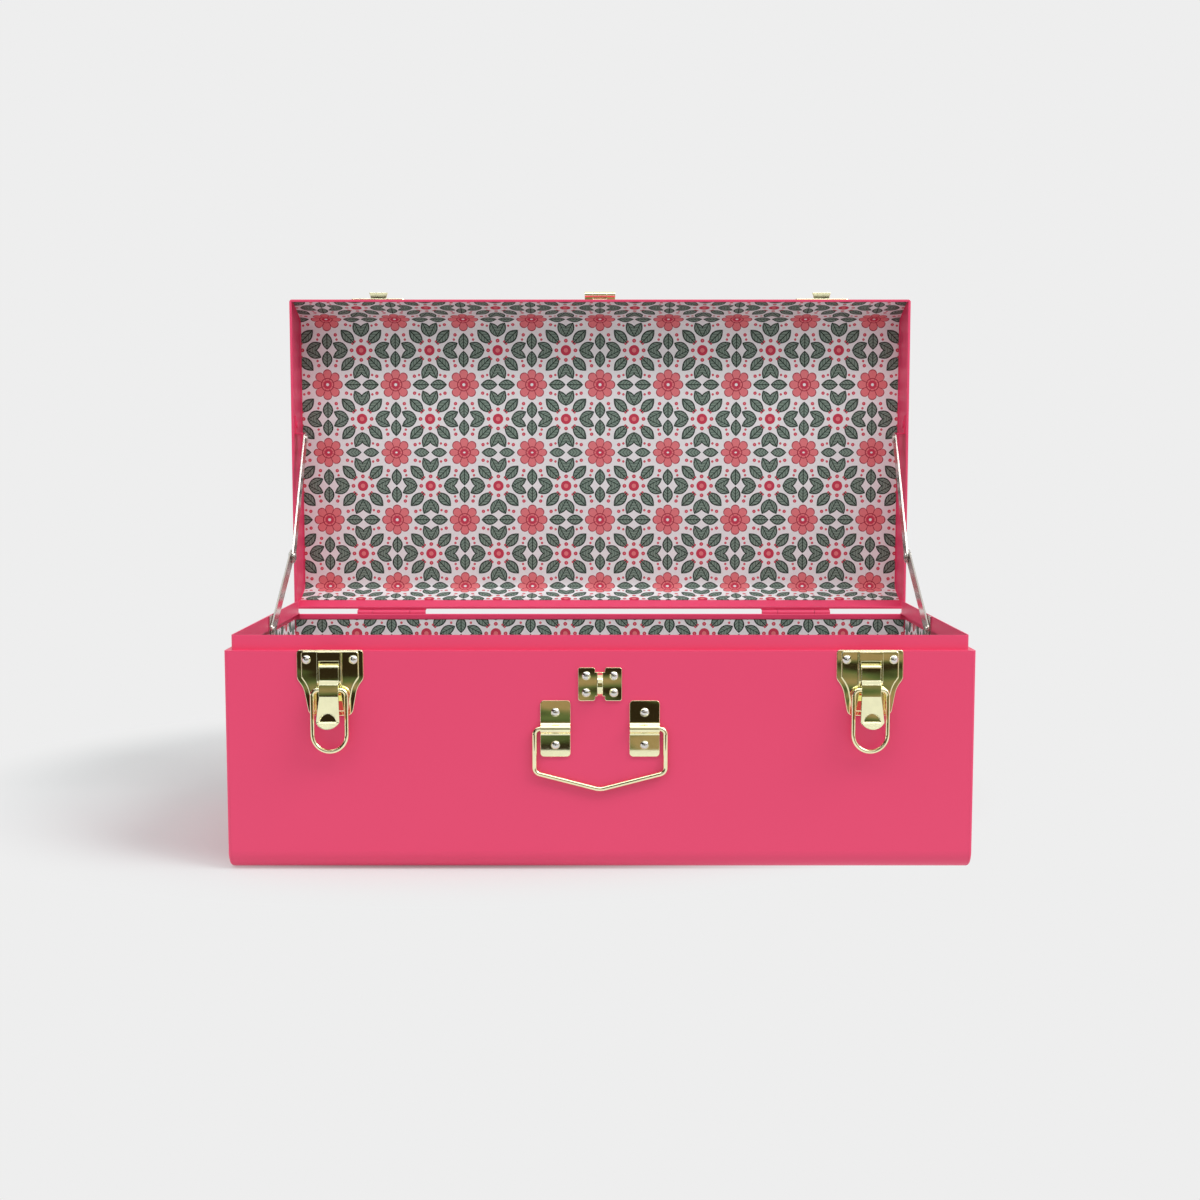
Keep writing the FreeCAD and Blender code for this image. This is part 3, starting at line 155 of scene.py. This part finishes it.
class CardSettings(bpy.types.PropertyGroup):
    repeat: bpy.props.FloatProperty(
        name="Repeat", description="Distance between two rosettes of the print", unit="LENGTH",
        default=0.068,
    )
    ground: bpy.props.FloatVectorProperty(
        name="Ground", description="Colour of the card", subtype="COLOR", default=linear("#EEEDEF")
    )
    leaf: bpy.props.FloatVectorProperty(
        name="Leaf", description="Ink of the leaves", subtype="COLOR", default=linear("#7E9286")
    )
    leaf_line: bpy.props.FloatVectorProperty(
        name="Leaf line", description="Ink of outlines and veins", subtype="COLOR",
        default=linear("#293831"),
    )
    petal: bpy.props.FloatVectorProperty(
        name="Petal", description="Ink of the rosettes", subtype="COLOR", default=linear("#E47C82")
    )
    petal_line: bpy.props.FloatVectorProperty(
        name="Petal line", description="Ink between petals", subtype="COLOR",
        default=linear("#A62C40"),
    )
    berry: bpy.props.FloatVectorProperty(
        name="Berry", description="Ink of berries and rosette hearts", subtype="COLOR",
        default=linear("#CB3D55"),
    )
    fibre: bpy.props.FloatProperty(
        name="Fibre", description="Width of a fleck in the card's face", unit="LENGTH",
        default=0.0011,
    )


class StageSettings(bpy.types.PropertyGroup):
    pale: bpy.props.FloatVectorProperty(
        name="Pale grey", description="Colour of the background and the floor far off",
        subtype="COLOR", default=linear("#EEEEEE"),
    )
    # Painted counter-tint: cooler than the pale grey, to cancel the pink light that the trunk
    # throws on the floor close by.
    floor: bpy.props.FloatVectorProperty(
        name="Floor", description="Colour of the floor close to the trunk", subtype="COLOR",
        default=linear("#DBDFDF"),
    )
    fill: bpy.props.FloatVectorProperty(
        name="Fill light", description="Even light from all round", subtype="COLOR",
        default=linear("#BABABA"),
    )
    # The next four are painted reflections: colours and patch size of glowing cards that only the
    # polished metal mirrors.
    painted_reflection_dark: bpy.props.FloatVectorProperty(
        name="Room, dark", description="Darkest things that polished fronts mirror",
        subtype="COLOR", default=linear("#2D2417"),
    )
    painted_reflection_green: bpy.props.FloatVectorProperty(
        name="Room, green", description="Dull green things that polished fronts mirror",
        subtype="COLOR", default=linear("#5A6A44"),
    )
    painted_reflection_tan: bpy.props.FloatVectorProperty(
        name="Room, tan", description="Lightest things that polished fronts mirror",
        subtype="COLOR", default=linear("#A08A68"),
    )
    painted_reflection_patch: bpy.props.FloatProperty(
        name="Room patch", description="Width of one thing in the painted reflection room", unit="LENGTH",
        default=0.18,
    )
    table: bpy.props.FloatProperty(
        name="Table edge", description="How far before the middle the pale floor ends in mirrors",
        unit="LENGTH", default=0.665,
    )
    eye: bpy.props.FloatVectorProperty(
        name="Camera place", description="Where the camera stands", subtype="XYZ", unit="LENGTH",
        default=(0.0, -1.448, 0.3404),
    )
    tilt: bpy.props.FloatProperty(
        name="Camera tilt", description="How far the camera looks down", subtype="ANGLE",
        default=math.radians(5.36),
    )
    lens: bpy.props.FloatProperty(
        name="Lens", description="Focal length on a 36 mm frame, in mm", default=49.2
    )


class TrunkSettings(bpy.types.PropertyGroup):
    enamel: bpy.props.PointerProperty(type=EnamelSettings)
    metal: bpy.props.PointerProperty(type=MetalSettings)
    card: bpy.props.PointerProperty(type=CardSettings)
    stage: bpy.props.PointerProperty(type=StageSettings)


EDGE_SAMPLES = 8  # rays of the node that rounds edges in shading
NOISE_SPAN = (0.3, 0.7)  # most of a noise texture lies between these

# Motifs of the print, in millimetres on a repeat that is 68 mm wide
DRAWN_HALF = 34.0
LEAVES = (  # middle, turn in degrees, half length and half width
    ((20.6, 20.6), 45, (9.6, 5.4)),
    ((25.2, 0.0), 0, (8.4, 5.2)),
    ((30.6, 13.4), 63, (8.6, 4.6)),
)
BERRIES = (  # middle, radius
    ((34.0, 34.0), 5.2),
    ((18.8, 8.4), 1.7),
    ((23.4, 9.6), 1.2),
    ((34.0, 24.5), 1.9),
    ((27.6, 25.4), 1.1),
)
PETAL_NOTCH, PETAL_RISE, PETAL_BORDER = 10.6, 4.6, 0.95
RING_RADIUS, RING_HALF_LINE = 6.2, 0.45
HEART_RADIUS, SPOT_RADIUS = 4.2, 1.5


def powder_coat(settings):
    """Powder coat, sprayed and baked on bent steel sheet."""
    # To the eye: one even colour in a satin that blurs what it mirrors, a faint orange-peel ripple,
    # and soft glints along the edges, which the coat rounds.
    peel_detail, peel_strength, peel_depth = 1.5, 0.12, 0.0002
    uneven = 0.05
    material, tree = new_material("pink powder coat")
    place = add(tree, "ShaderNodeTexCoord").outputs["Object"]
    peel = add(
        tree, "ShaderNodeTexNoise",
        {"Vector": place, "Scale": 1 / settings.peel, "Detail": peel_detail},
    )
    smooth, rough = settings.roughness - uneven, settings.roughness + uneven
    satin = add(tree, "ShaderNodeMapRange", peel, 0.0, 1.0, smooth, rough)
    rounded = add(tree, "ShaderNodeBevel", settings.edge, samples=EDGE_SAMPLES)
    ripple = add(
        tree, "ShaderNodeBump",
        {"Strength": peel_strength, "Distance": peel_depth, "Height": peel, "Normal": rounded},
    )
    shader = add(
        tree, "ShaderNodeBsdfPrincipled",
        {"Base Color": rgba(settings.colour), "Roughness": satin, "Normal": ripple},
    )
    add(tree, "ShaderNodeOutputMaterial", shader)
    return material


def polished_metal(name, settings, colour, roughness, dull):
    """Stamped pressings, plated and polished; dull is the roughness that wiping marks add."""
    # To the eye: a mirror with glints on its rolled edges, faint clouds in its tone and fine wiping
    # marks. A real mark is a few hundredths of a millimetre wide. It is drawn coarser here, so that
    # it shows.
    cloud_detail, cloud_tones = 4.0, (0.93, 1.02)
    wipe_turn, wipe_contrast = 0.3, (0.35, 0.75)
    material, tree = new_material(name)
    place = add(tree, "ShaderNodeTexCoord").outputs["Object"]
    cloud = add(
        tree, "ShaderNodeTexNoise",
        {"Vector": place, "Scale": 1 / settings.cloud, "Detail": cloud_detail},
    )
    tone = add(tree, "ShaderNodeMapRange", cloud, *NOISE_SPAN, *cloud_tones)
    tint = add(
        tree, "ShaderNodeMix", 1.0, rgba(colour), tone, data_type="RGBA", blend_type="MULTIPLY"
    )
    marks = tuple(1 / size for size in settings.wipe)
    stretch = add(tree, "ShaderNodeMapping", place, None, (0, 0, wipe_turn), marks)
    wipe = add(tree, "ShaderNodeTexNoise", {"Vector": stretch, "Scale": 1.0})
    rough = add(tree, "ShaderNodeMapRange", wipe, *wipe_contrast, roughness, roughness + dull)
    rolled = add(tree, "ShaderNodeBevel", settings.edge, samples=EDGE_SAMPLES)
    shader = add(
        tree, "ShaderNodeBsdfPrincipled",
        {"Base Color": tint, "Metallic": 1.0, "Roughness": rough, "Normal": rolled},
    )
    add(tree, "ShaderNodeOutputMaterial", shader)
    return material


def leaf_shape(tree, place, at, turn, size):
    """An almond leaf: its fill, above 0 inside, and its veins, 1 on a line."""
    midrib_half, rib_slant, ribs_per_half, rib_share = 0.09, -0.55, 2.6, 0.18
    local = add(
        tree, "ShaderNodeMapping", place, (*at, 0), (0, 0, math.radians(turn)), (*size, 1),
        vector_type="TEXTURE",
    )
    split = add(tree, "ShaderNodeSeparateXYZ", local)
    along, across = split.outputs[0], split.outputs[1]
    across = add(tree, "ShaderNodeMath", across, operation="ABSOLUTE")
    bulge = add(tree, "ShaderNodeMath", along, along, operation="MULTIPLY")
    rim = add(tree, "ShaderNodeMath", 1.0, bulge, operation="SUBTRACT")
    fill = add(tree, "ShaderNodeMath", rim, across, operation="SUBTRACT")
    midrib = add(tree, "ShaderNodeMath", across, midrib_half, operation="LESS_THAN")
    slant = add(tree, "ShaderNodeMath", across, rib_slant, along, operation="MULTIPLY_ADD")
    ribs = add(tree, "ShaderNodeMath", slant, ribs_per_half, operation="MULTIPLY")
    ribs = add(tree, "ShaderNodeMath", ribs, operation="FRACT")
    ribs = add(tree, "ShaderNodeMath", ribs, rib_share, operation="LESS_THAN")
    veins = add(tree, "ShaderNodeMath", midrib, ribs, operation="MAXIMUM")
    inside = add(tree, "ShaderNodeMath", fill, 0.0, operation="GREATER_THAN")
    veins = add(tree, "ShaderNodeMath", veins, inside, operation="MULTIPLY")
    return fill, veins


def leaf_inks(tree, settings, place, unit):
    """Masks and inks of the leaves, and of their outlines and veins."""
    outline = 0.25
    fill = veins = None
    for at, turn, size in LEAVES:
        at = tuple(value * unit for value in at)
        size = tuple(value * unit for value in size)
        shape, lines = leaf_shape(tree, place, at, turn, size)
        if fill is None:
            fill, veins = shape, lines
        else:
            fill = add(tree, "ShaderNodeMath", fill, shape, operation="MAXIMUM")
            veins = add(tree, "ShaderNodeMath", veins, lines, operation="MAXIMUM")
    leaf = add(tree, "ShaderNodeMath", fill, 0.0, operation="GREATER_THAN")
    edge = add(tree, "ShaderNodeMath", fill, outline, operation="LESS_THAN")
    lines = add(tree, "ShaderNodeMath", veins, edge, operation="MAXIMUM")
    lines = add(tree, "ShaderNodeMath", lines, leaf, operation="MULTIPLY")
    return [(leaf, settings.leaf), (lines, settings.leaf_line)]


def rosette_inks(tree, settings, place, unit):
    """Masks and inks of the rosette of eight round petals at the repeat's corner."""
    petals_in_half_turn, petal_roundness, notch_share = 4.0, 0.5, 0.16
    split = add(tree, "ShaderNodeSeparateXYZ", place)
    reach = add(tree, "ShaderNodeVectorMath", place, operation="LENGTH").outputs["Value"]
    turn = add(tree, "ShaderNodeMath", split.outputs[1], split.outputs[0], operation="ARCTAN2")
    lobe = add(tree, "ShaderNodeMath", turn, petals_in_half_turn, operation="MULTIPLY")
    lobe = add(tree, "ShaderNodeMath", lobe, operation="COSINE")
    lobe = add(tree, "ShaderNodeMath", lobe, operation="ABSOLUTE")
    swell = add(tree, "ShaderNodeMath", lobe, petal_roundness, operation="POWER")
    outline = add(
        tree, "ShaderNodeMath", swell, PETAL_RISE * unit, PETAL_NOTCH * unit,
        operation="MULTIPLY_ADD",
    )
    rosette = add(tree, "ShaderNodeMath", reach, outline, operation="LESS_THAN")
    inner = add(tree, "ShaderNodeMath", outline, PETAL_BORDER * unit, operation="SUBTRACT")
    lines = add(tree, "ShaderNodeMath", reach, inner, operation="GREATER_THAN")
    notch = add(tree, "ShaderNodeMath", lobe, notch_share, operation="LESS_THAN")
    lines = add(tree, "ShaderNodeMath", lines, notch, operation="MAXIMUM")
    ring = add(
        tree, "ShaderNodeMath", reach, RING_RADIUS * unit, RING_HALF_LINE * unit,
        operation="COMPARE",
    )
    lines = add(tree, "ShaderNodeMath", lines, ring, operation="MAXIMUM")
    lines = add(tree, "ShaderNodeMath", lines, rosette, operation="MULTIPLY")
    heart = add(tree, "ShaderNodeMath", reach, HEART_RADIUS * unit, operation="LESS_THAN")
    spot = add(tree, "ShaderNodeMath", reach, SPOT_RADIUS * unit, operation="LESS_THAN")
    return [
        (rosette, settings.petal),
        (lines, settings.petal_line),
        (heart, settings.berry),
        (spot, settings.ground),
    ]


def berry_inks(tree, settings, place, unit):
    """Masks and inks of the berries, each with a pale middle."""
    shine_share = 0.42
    inks = []
    for at, radius in BERRIES:
        middle = (*(value * unit for value in at), 0)
        away = add(tree, "ShaderNodeVectorMath", place, middle, operation="DISTANCE")
        away = away.outputs["Value"]
        for size, shade in ((1.0, settings.berry), (shine_share, settings.petal)):
            dot = add(tree, "ShaderNodeMath", away, radius * unit * size, operation="LESS_THAN")
            inks.append((dot, shade))
    return inks


def printed_card(name, settings, along, across):
    """Card lining, printed flat and glued in: rosettes and leaves on a square grid.

    along and across build, from the separated object coordinates, the two places on the flat sheet.
    """
    # To the eye: matt inks in crisp lines on a pale ground, dulled by the card's fine flecks.
    matt, gloss = 0.72, 0.3
    fibre_tones, fibre_strength, fibre_depth = (0.90, 1.0), 0.15, 0.0001
    millimetres = 1000.0
    material, tree = new_material(name)
    sheet = add(tree, "ShaderNodeTexCoord").outputs["Object"]
    split = add(tree, "ShaderNodeSeparateXYZ", sheet)
    half = settings.repeat * millimetres / 2
    unit = half / DRAWN_HALF
    folded = []
    for build in (along, across):
        flat = add(tree, "ShaderNodeMath", build(tree, split), millimetres, operation="MULTIPLY")
        folded.append(add(tree, "ShaderNodeMath", flat, half, operation="PINGPONG"))
    high = add(tree, "ShaderNodeMath", *folded, operation="MAXIMUM")
    low = add(tree, "ShaderNodeMath", *folded, operation="MINIMUM")
    place = add(tree, "ShaderNodeCombineXYZ", high, low, 0.0)

    colour = rgba(settings.ground)
    for motif in (leaf_inks, rosette_inks, berry_inks):
        for mask, shade in motif(tree, settings, place, unit):
            colour = add(tree, "ShaderNodeMix", mask, colour, rgba(shade), data_type="RGBA")

    fibre = add(tree, "ShaderNodeTexNoise", {"Vector": sheet, "Scale": 1 / settings.fibre})
    fleck = add(tree, "ShaderNodeMapRange", fibre, *NOISE_SPAN, *fibre_tones)
    colour = add(
        tree, "ShaderNodeMix", 1.0, colour, fleck, data_type="RGBA", blend_type="MULTIPLY"
    )
    bump = add(
        tree, "ShaderNodeBump",
        {"Strength": fibre_strength, "Distance": fibre_depth, "Height": fibre},
    )
    shader = add(
        tree, "ShaderNodeBsdfPrincipled",
        {"Base Color": colour, "Roughness": matt, "Specular IOR Level": gloss, "Normal": bump},
    )
    add(tree, "ShaderNodeOutputMaterial", shader)
    return material


def wrap_width(tree, split):
    """Across a wrapped sheet, from end to end of the trunk."""
    return split.outputs[0]


def body_wrap_length(tree, split):
    """Along the body's card: down the front, over the floor and up the back."""
    height, depth = split.outputs[2], split.outputs[1]
    side = add(tree, "ShaderNodeMath", depth, operation="SIGN")
    return add(tree, "ShaderNodeMath", height, side, depth, operation="MULTIPLY_ADD")


def lid_wrap_length(tree, split):
    """Along the lid's card, upright in the open lid: over its front, up its top, over its back."""
    low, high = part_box("lid_lining")
    middle = (low.z + high.z) / 2
    rise = add(tree, "ShaderNodeMath", split.outputs[2], middle, operation="SUBTRACT")
    side = add(tree, "ShaderNodeMath", rise, operation="SIGN")
    depth = add(tree, "ShaderNodeMath", high.y, split.outputs[1], operation="SUBTRACT")
    return add(tree, "ShaderNodeMath", depth, side, rise, operation="MULTIPLY_ADD")


def end_width(tree, split):
    """Across an end's card, from front to back."""
    return split.outputs[1]


def end_height(tree, split):
    """Up an end's card."""
    return split.outputs[2]


class TRUNK_OT_enamel_sheets(bpy.types.Operator):
    """Coats the body, the lid and the hinges"""

    bl_idname = "trunk.enamel_sheets"
    bl_label = "Enamel the sheets"

    def execute(self, context):
        finish_nodes(ENAMELLED, powder_coat(context.scene.trunk.enamel))
        return {"FINISHED"}


class TRUNK_OT_brass_hardware(bpy.types.Operator):
    """Plates the latches, the hasp, the staple and the carry handle"""

    bl_idname = "trunk.brass_hardware"
    bl_label = "Plate the hardware"

    def execute(self, context):
        metal = context.scene.trunk.metal
        # Bright brass plate: pale gold, and the sharpest mirror on the trunk.
        plate = polished_metal(
            "polished brass plate", metal, metal.brass, metal.brass_roughness, dull=0.02
        )
        finish_nodes(BRASS_PLATED, plate)
        return {"FINISHED"}


class TRUNK_OT_rivet_heads(bpy.types.Operator):
    """Polishes the rivet heads"""

    bl_idname = "trunk.rivet_heads"
    bl_label = "Polish the rivets"

    def execute(self, context):
        metal = context.scene.trunk.metal
        # Tumbled steel: colder and whiter than the brass, with a highlight on each dome.
        heads = polished_metal(
            "polished rivet steel", metal, metal.rivet, roughness=0.04, dull=0.03
        )
        finish_nodes(RIVETS, heads)
        return {"FINISHED"}


class TRUNK_OT_nickel_stays(bpy.types.Operator):
    """Plates the folding lid stays"""

    bl_idname = "trunk.nickel_stays"
    bl_label = "Plate the stays"

    def execute(self, context):
        metal = context.scene.trunk.metal
        # Nickel plate, left dull: a warm grey that blurs what it mirrors.
        links = polished_metal("nickel plate", metal, metal.nickel, roughness=0.20, dull=0.02)
        finish_nodes(NICKELLED, links)
        return {"FINISHED"}


class TRUNK_OT_card_linings(bpy.types.Operator):
    """Prints the card linings"""

    bl_idname = "trunk.card_linings"
    bl_label = "Line the trunk"

    def execute(self, context):
        card = context.scene.trunk.card
        wrap = printed_card("printed card of the body", card, wrap_width, body_wrap_length)
        finish_nodes(["body_lining_wrap"], wrap)
        ends = printed_card("printed card of the ends", card, end_width, end_height)
        finish_nodes(["body_lining_left", "body_lining_right"], ends)
        lid = printed_card("printed card of the lid", card, wrap_width, lid_wrap_length)
        finish_nodes(["lid_lining"], lid)
        return {"FINISHED"}


class TRUNK_OT_stage(bpy.types.Operator):
    """Sets the floor, the painted reflections, the lights and the camera"""

    bl_idname = "trunk.stage"
    bl_label = "Set the stage"

    def execute(self, context):
        stage = context.scene.trunk.stage
        scene = context.scene
        scene.view_settings.view_transform = "Standard"
        self.floor(scene, stage)
        self.painted_reflection_room(scene, stage)
        self.world(scene, stage)
        self.lamps(scene)
        self.camera(scene, stage)
        return {"FINISHED"}

    def floor(self, scene, stage):
        """A pale floor that takes the shadow close to the trunk and glows evenly further off. Close
        to the trunk a little glow lightens that shadow.
        """
        reach, clearance = 6.0, 0.0004
        matt_middle, matt_spread = (-0.14, 0.22, 0), (0.52, 0.46, 1)
        fade_from, fade_to, least_glow = 0.72, 1.05, 0.12
        mesh = bpy.data.meshes.new("floor")
        corners = [(-reach, -reach, 0), (reach, -reach, 0), (reach, reach, 0), (-reach, reach, 0)]
        mesh.from_pydata(corners, [], [(0, 1, 2, 3)])
        floor = bpy.data.objects.new("floor", mesh)
        scene.collection.objects.link(floor)
        floor.location.z = -clearance
        material, tree = new_material("pale floor")
        # The matt part is tinted cooler than the pale grey. This is a counter-tint painted against
        # the pink bounce light from the trunk.
        matt = add(tree, "ShaderNodeBsdfDiffuse", rgba(stage.floor))
        glow = add(tree, "ShaderNodeEmission", rgba(stage.pale), 1.0)
        place = add(tree, "ShaderNodeTexCoord").outputs["Object"]
        around = add(
            tree, "ShaderNodeMapping", place, matt_middle, None, matt_spread, vector_type="TEXTURE"
        )
        away = add(tree, "ShaderNodeVectorMath", around, operation="LENGTH").outputs["Value"]
        # The least glow stays even close to the trunk, and it lightens the shadow there.
        fade = add(
            tree, "ShaderNodeMapRange", away, fade_from, fade_to, least_glow, 1.0,
            interpolation_type="SMOOTHSTEP",
        )
        add(tree, "ShaderNodeOutputMaterial", add(tree, "ShaderNodeMixShader", fade, matt, glow))
        mesh.materials.append(material)

    def painted_reflection_room(self, scene, stage):
        """Painted reflections: glowing cards of an unlit room on the camera's side, which only the
        polished metal mirrors.
        """
        wide, far, low, tall = 2.4, 2.1, 0.002, 0.5
        left, deep, high = -14, -4, 14
        # Every card glows and is seen only in mirrors. Each one is a painted reflection, and that
        # includes the floor before the table and the low wall.
        cards = (  # lowest and highest corner of each, in metres
            ((-wide, -far, low), (wide, -stage.table, low)),  # the floor before the table
            ((-wide, -far, low), (wide, -far, tall)),  # a low wall
            ((left, deep, 1), (-2.3, deep, high)),  # a dark corner, for the rivets
            ((left, deep, 1), (left, 8, high)),  # the wall on its left
            ((-2.3, deep, 2.2), (-0.5, deep, 5)),  # a lower card on its right
            ((-0.3, -far, tall), (0.3, -far, 1)),  # a card for the hasp's edges
            ((-wide, -far, 0.665), (wide, -far, 0.69)),  # a thin strip for the keepers
        )
        corners, faces = [], []
        for (x0, y0, z0), (x1, y1, z1) in cards:
            first = len(corners)
            faces.append((first, first + 1, first + 2, first + 3))
            if z0 == z1:
                corners += [(x0, y1, z0), (x1, y1, z0), (x1, y0, z0), (x0, y0, z0)]
            else:
                corners += [(x0, y0, z0), (x1, y1, z0), (x1, y1, z1), (x0, y0, z1)]
        mesh = bpy.data.meshes.new("painted reflection room")
        mesh.from_pydata(corners, [], faces)
        room = bpy.data.objects.new("painted reflection room", mesh)
        scene.collection.objects.link(room)
        room.visible_camera = room.visible_diffuse = False
        room.visible_shadow = room.visible_transmission = False
        patch_detail, lighter_per_metre = 1.0, 0.22
        dark_until, green_at, tan_from = 0.44, 0.53, 0.63
        # Painted reflection: dark, green and tan patches that grow lighter to the right.
        material, tree = new_material("painted reflection room")
        place = add(tree, "ShaderNodeTexCoord").outputs["Object"]
        patches = add(
            tree, "ShaderNodeTexNoise",
            {"Vector": place, "Scale": 1 / stage.painted_reflection_patch, "Detail": patch_detail},
        )
        across = add(tree, "ShaderNodeSeparateXYZ", place)
        lighter_right = add(
            tree, "ShaderNodeMath", across, lighter_per_metre, patches, operation="MULTIPLY_ADD"
        )
        shades = add(tree, "ShaderNodeValToRGB", lighter_right)
        ramp = shades.color_ramp.elements
        ramp[0].position, ramp[0].color = dark_until, rgba(stage.painted_reflection_dark)
        ramp[1].position, ramp[1].color = tan_from, rgba(stage.painted_reflection_tan)
        ramp.new(green_at).color = rgba(stage.painted_reflection_green)
        add(tree, "ShaderNodeOutputMaterial", add(tree, "ShaderNodeEmission", shades, 1.0))
        mesh.materials.append(material)

    def world(self, scene, stage):
        """Even fill light, with the pale background where it is seen or mirrored."""
        world = bpy.data.worlds.new("studio")
        scene.world = world
        world.use_nodes = True
        tree = world.node_tree
        tree.nodes.clear()
        seen = add(tree, "ShaderNodeLightPath")
        direct = seen.outputs["Is Camera Ray"]
        for ray in ("Is Glossy Ray", "Is Transmission Ray"):
            direct = add(tree, "ShaderNodeMath", direct, seen.outputs[ray], operation="MAXIMUM")
        fill = add(tree, "ShaderNodeBackground", rgba(stage.fill), 1.0)
        pale = add(tree, "ShaderNodeBackground", rgba(stage.pale), 1.0)
        add(tree, "ShaderNodeOutputWorld", add(tree, "ShaderNodeMixShader", direct, fill, pale))

    def lamps(self, scene):
        """A soft key from the right, a weaker, broader lamp from the left, a soft box above."""
        suns = (  # name, strength, width in degrees, the way to the lamp
            ("key", 1.40, 32, (0.85, -0.30, 0.90)),
            ("side", 0.70, 60, (-0.85, -0.35, 0.50)),
        )
        for name, strength, width, way in suns:
            light = bpy.data.lights.new(name, "SUN")
            light.energy = strength
            light.angle = math.radians(width)
            lamp = bpy.data.objects.new(name, light)
            lamp.rotation_euler = Vector(way).to_track_quat("Z", "Y").to_euler()
            scene.collection.objects.link(lamp)
        box_length, box_width, box_watts = 2.4, 0.5, 12.0
        box_place, box_way = (0.0, -0.9, 1.9), (0.0, -0.8, 1.7)
        light = bpy.data.lights.new("soft box", "AREA")
        light.shape = "RECTANGLE"
        light.size, light.size_y = box_length, box_width
        light.energy = box_watts
        lamp = bpy.data.objects.new("soft box", light)
        lamp.location = box_place
        lamp.rotation_euler = Vector(box_way).to_track_quat("Z", "Y").to_euler()
        lamp.visible_camera = False
        scene.collection.objects.link(lamp)

    def camera(self, scene, stage):
        """The camera in front, looking slightly down."""
        frame_width = 36.0  # mm
        data = bpy.data.cameras.new("camera")
        data.lens = stage.lens
        data.sensor_width = frame_width
        data.sensor_fit = "HORIZONTAL"
        camera = bpy.data.objects.new("camera", data)
        camera.location = stage.eye
        camera.rotation_euler = (math.pi / 2 - stage.tilt, 0, 0)
        scene.collection.objects.link(camera)
        scene.camera = camera


class TRUNK_PT_finish(bpy.types.Panel):
    """Lists the steps that finish the trunk"""

    bl_idname = "TRUNK_PT_finish"
    bl_label = "Trunk finish"
    bl_space_type = "VIEW_3D"
    bl_region_type = "UI"
    bl_category = "Trunk"

    def draw(self, context):
        for step in STEPS:
            self.layout.operator(step.bl_idname)


STEPS = (
    TRUNK_OT_enamel_sheets,
    TRUNK_OT_brass_hardware,
    TRUNK_OT_rivet_heads,
    TRUNK_OT_nickel_stays,
    TRUNK_OT_card_linings,
    TRUNK_OT_stage,
)
CLASSES = (
    EnamelSettings,
    MetalSettings,
    CardSettings,
    StageSettings,
    TrunkSettings,
    *STEPS,
    TRUNK_PT_finish,
)


def register():
    for kind in CLASSES:
        bpy.utils.register_class(kind)
    bpy.types.Scene.trunk = bpy.props.PointerProperty(type=TrunkSettings)


def unregister():
    del bpy.types.Scene.trunk
    for kind in reversed(CLASSES):
        bpy.utils.unregister_class(kind)


def main():
    register()
    bpy.ops.trunk.enamel_sheets()
    bpy.ops.trunk.brass_hardware()
    bpy.ops.trunk.rivet_heads()
    bpy.ops.trunk.nickel_stays()
    bpy.ops.trunk.card_linings()
    bpy.ops.trunk.stage()


if __name__ == "__main__":
    main()
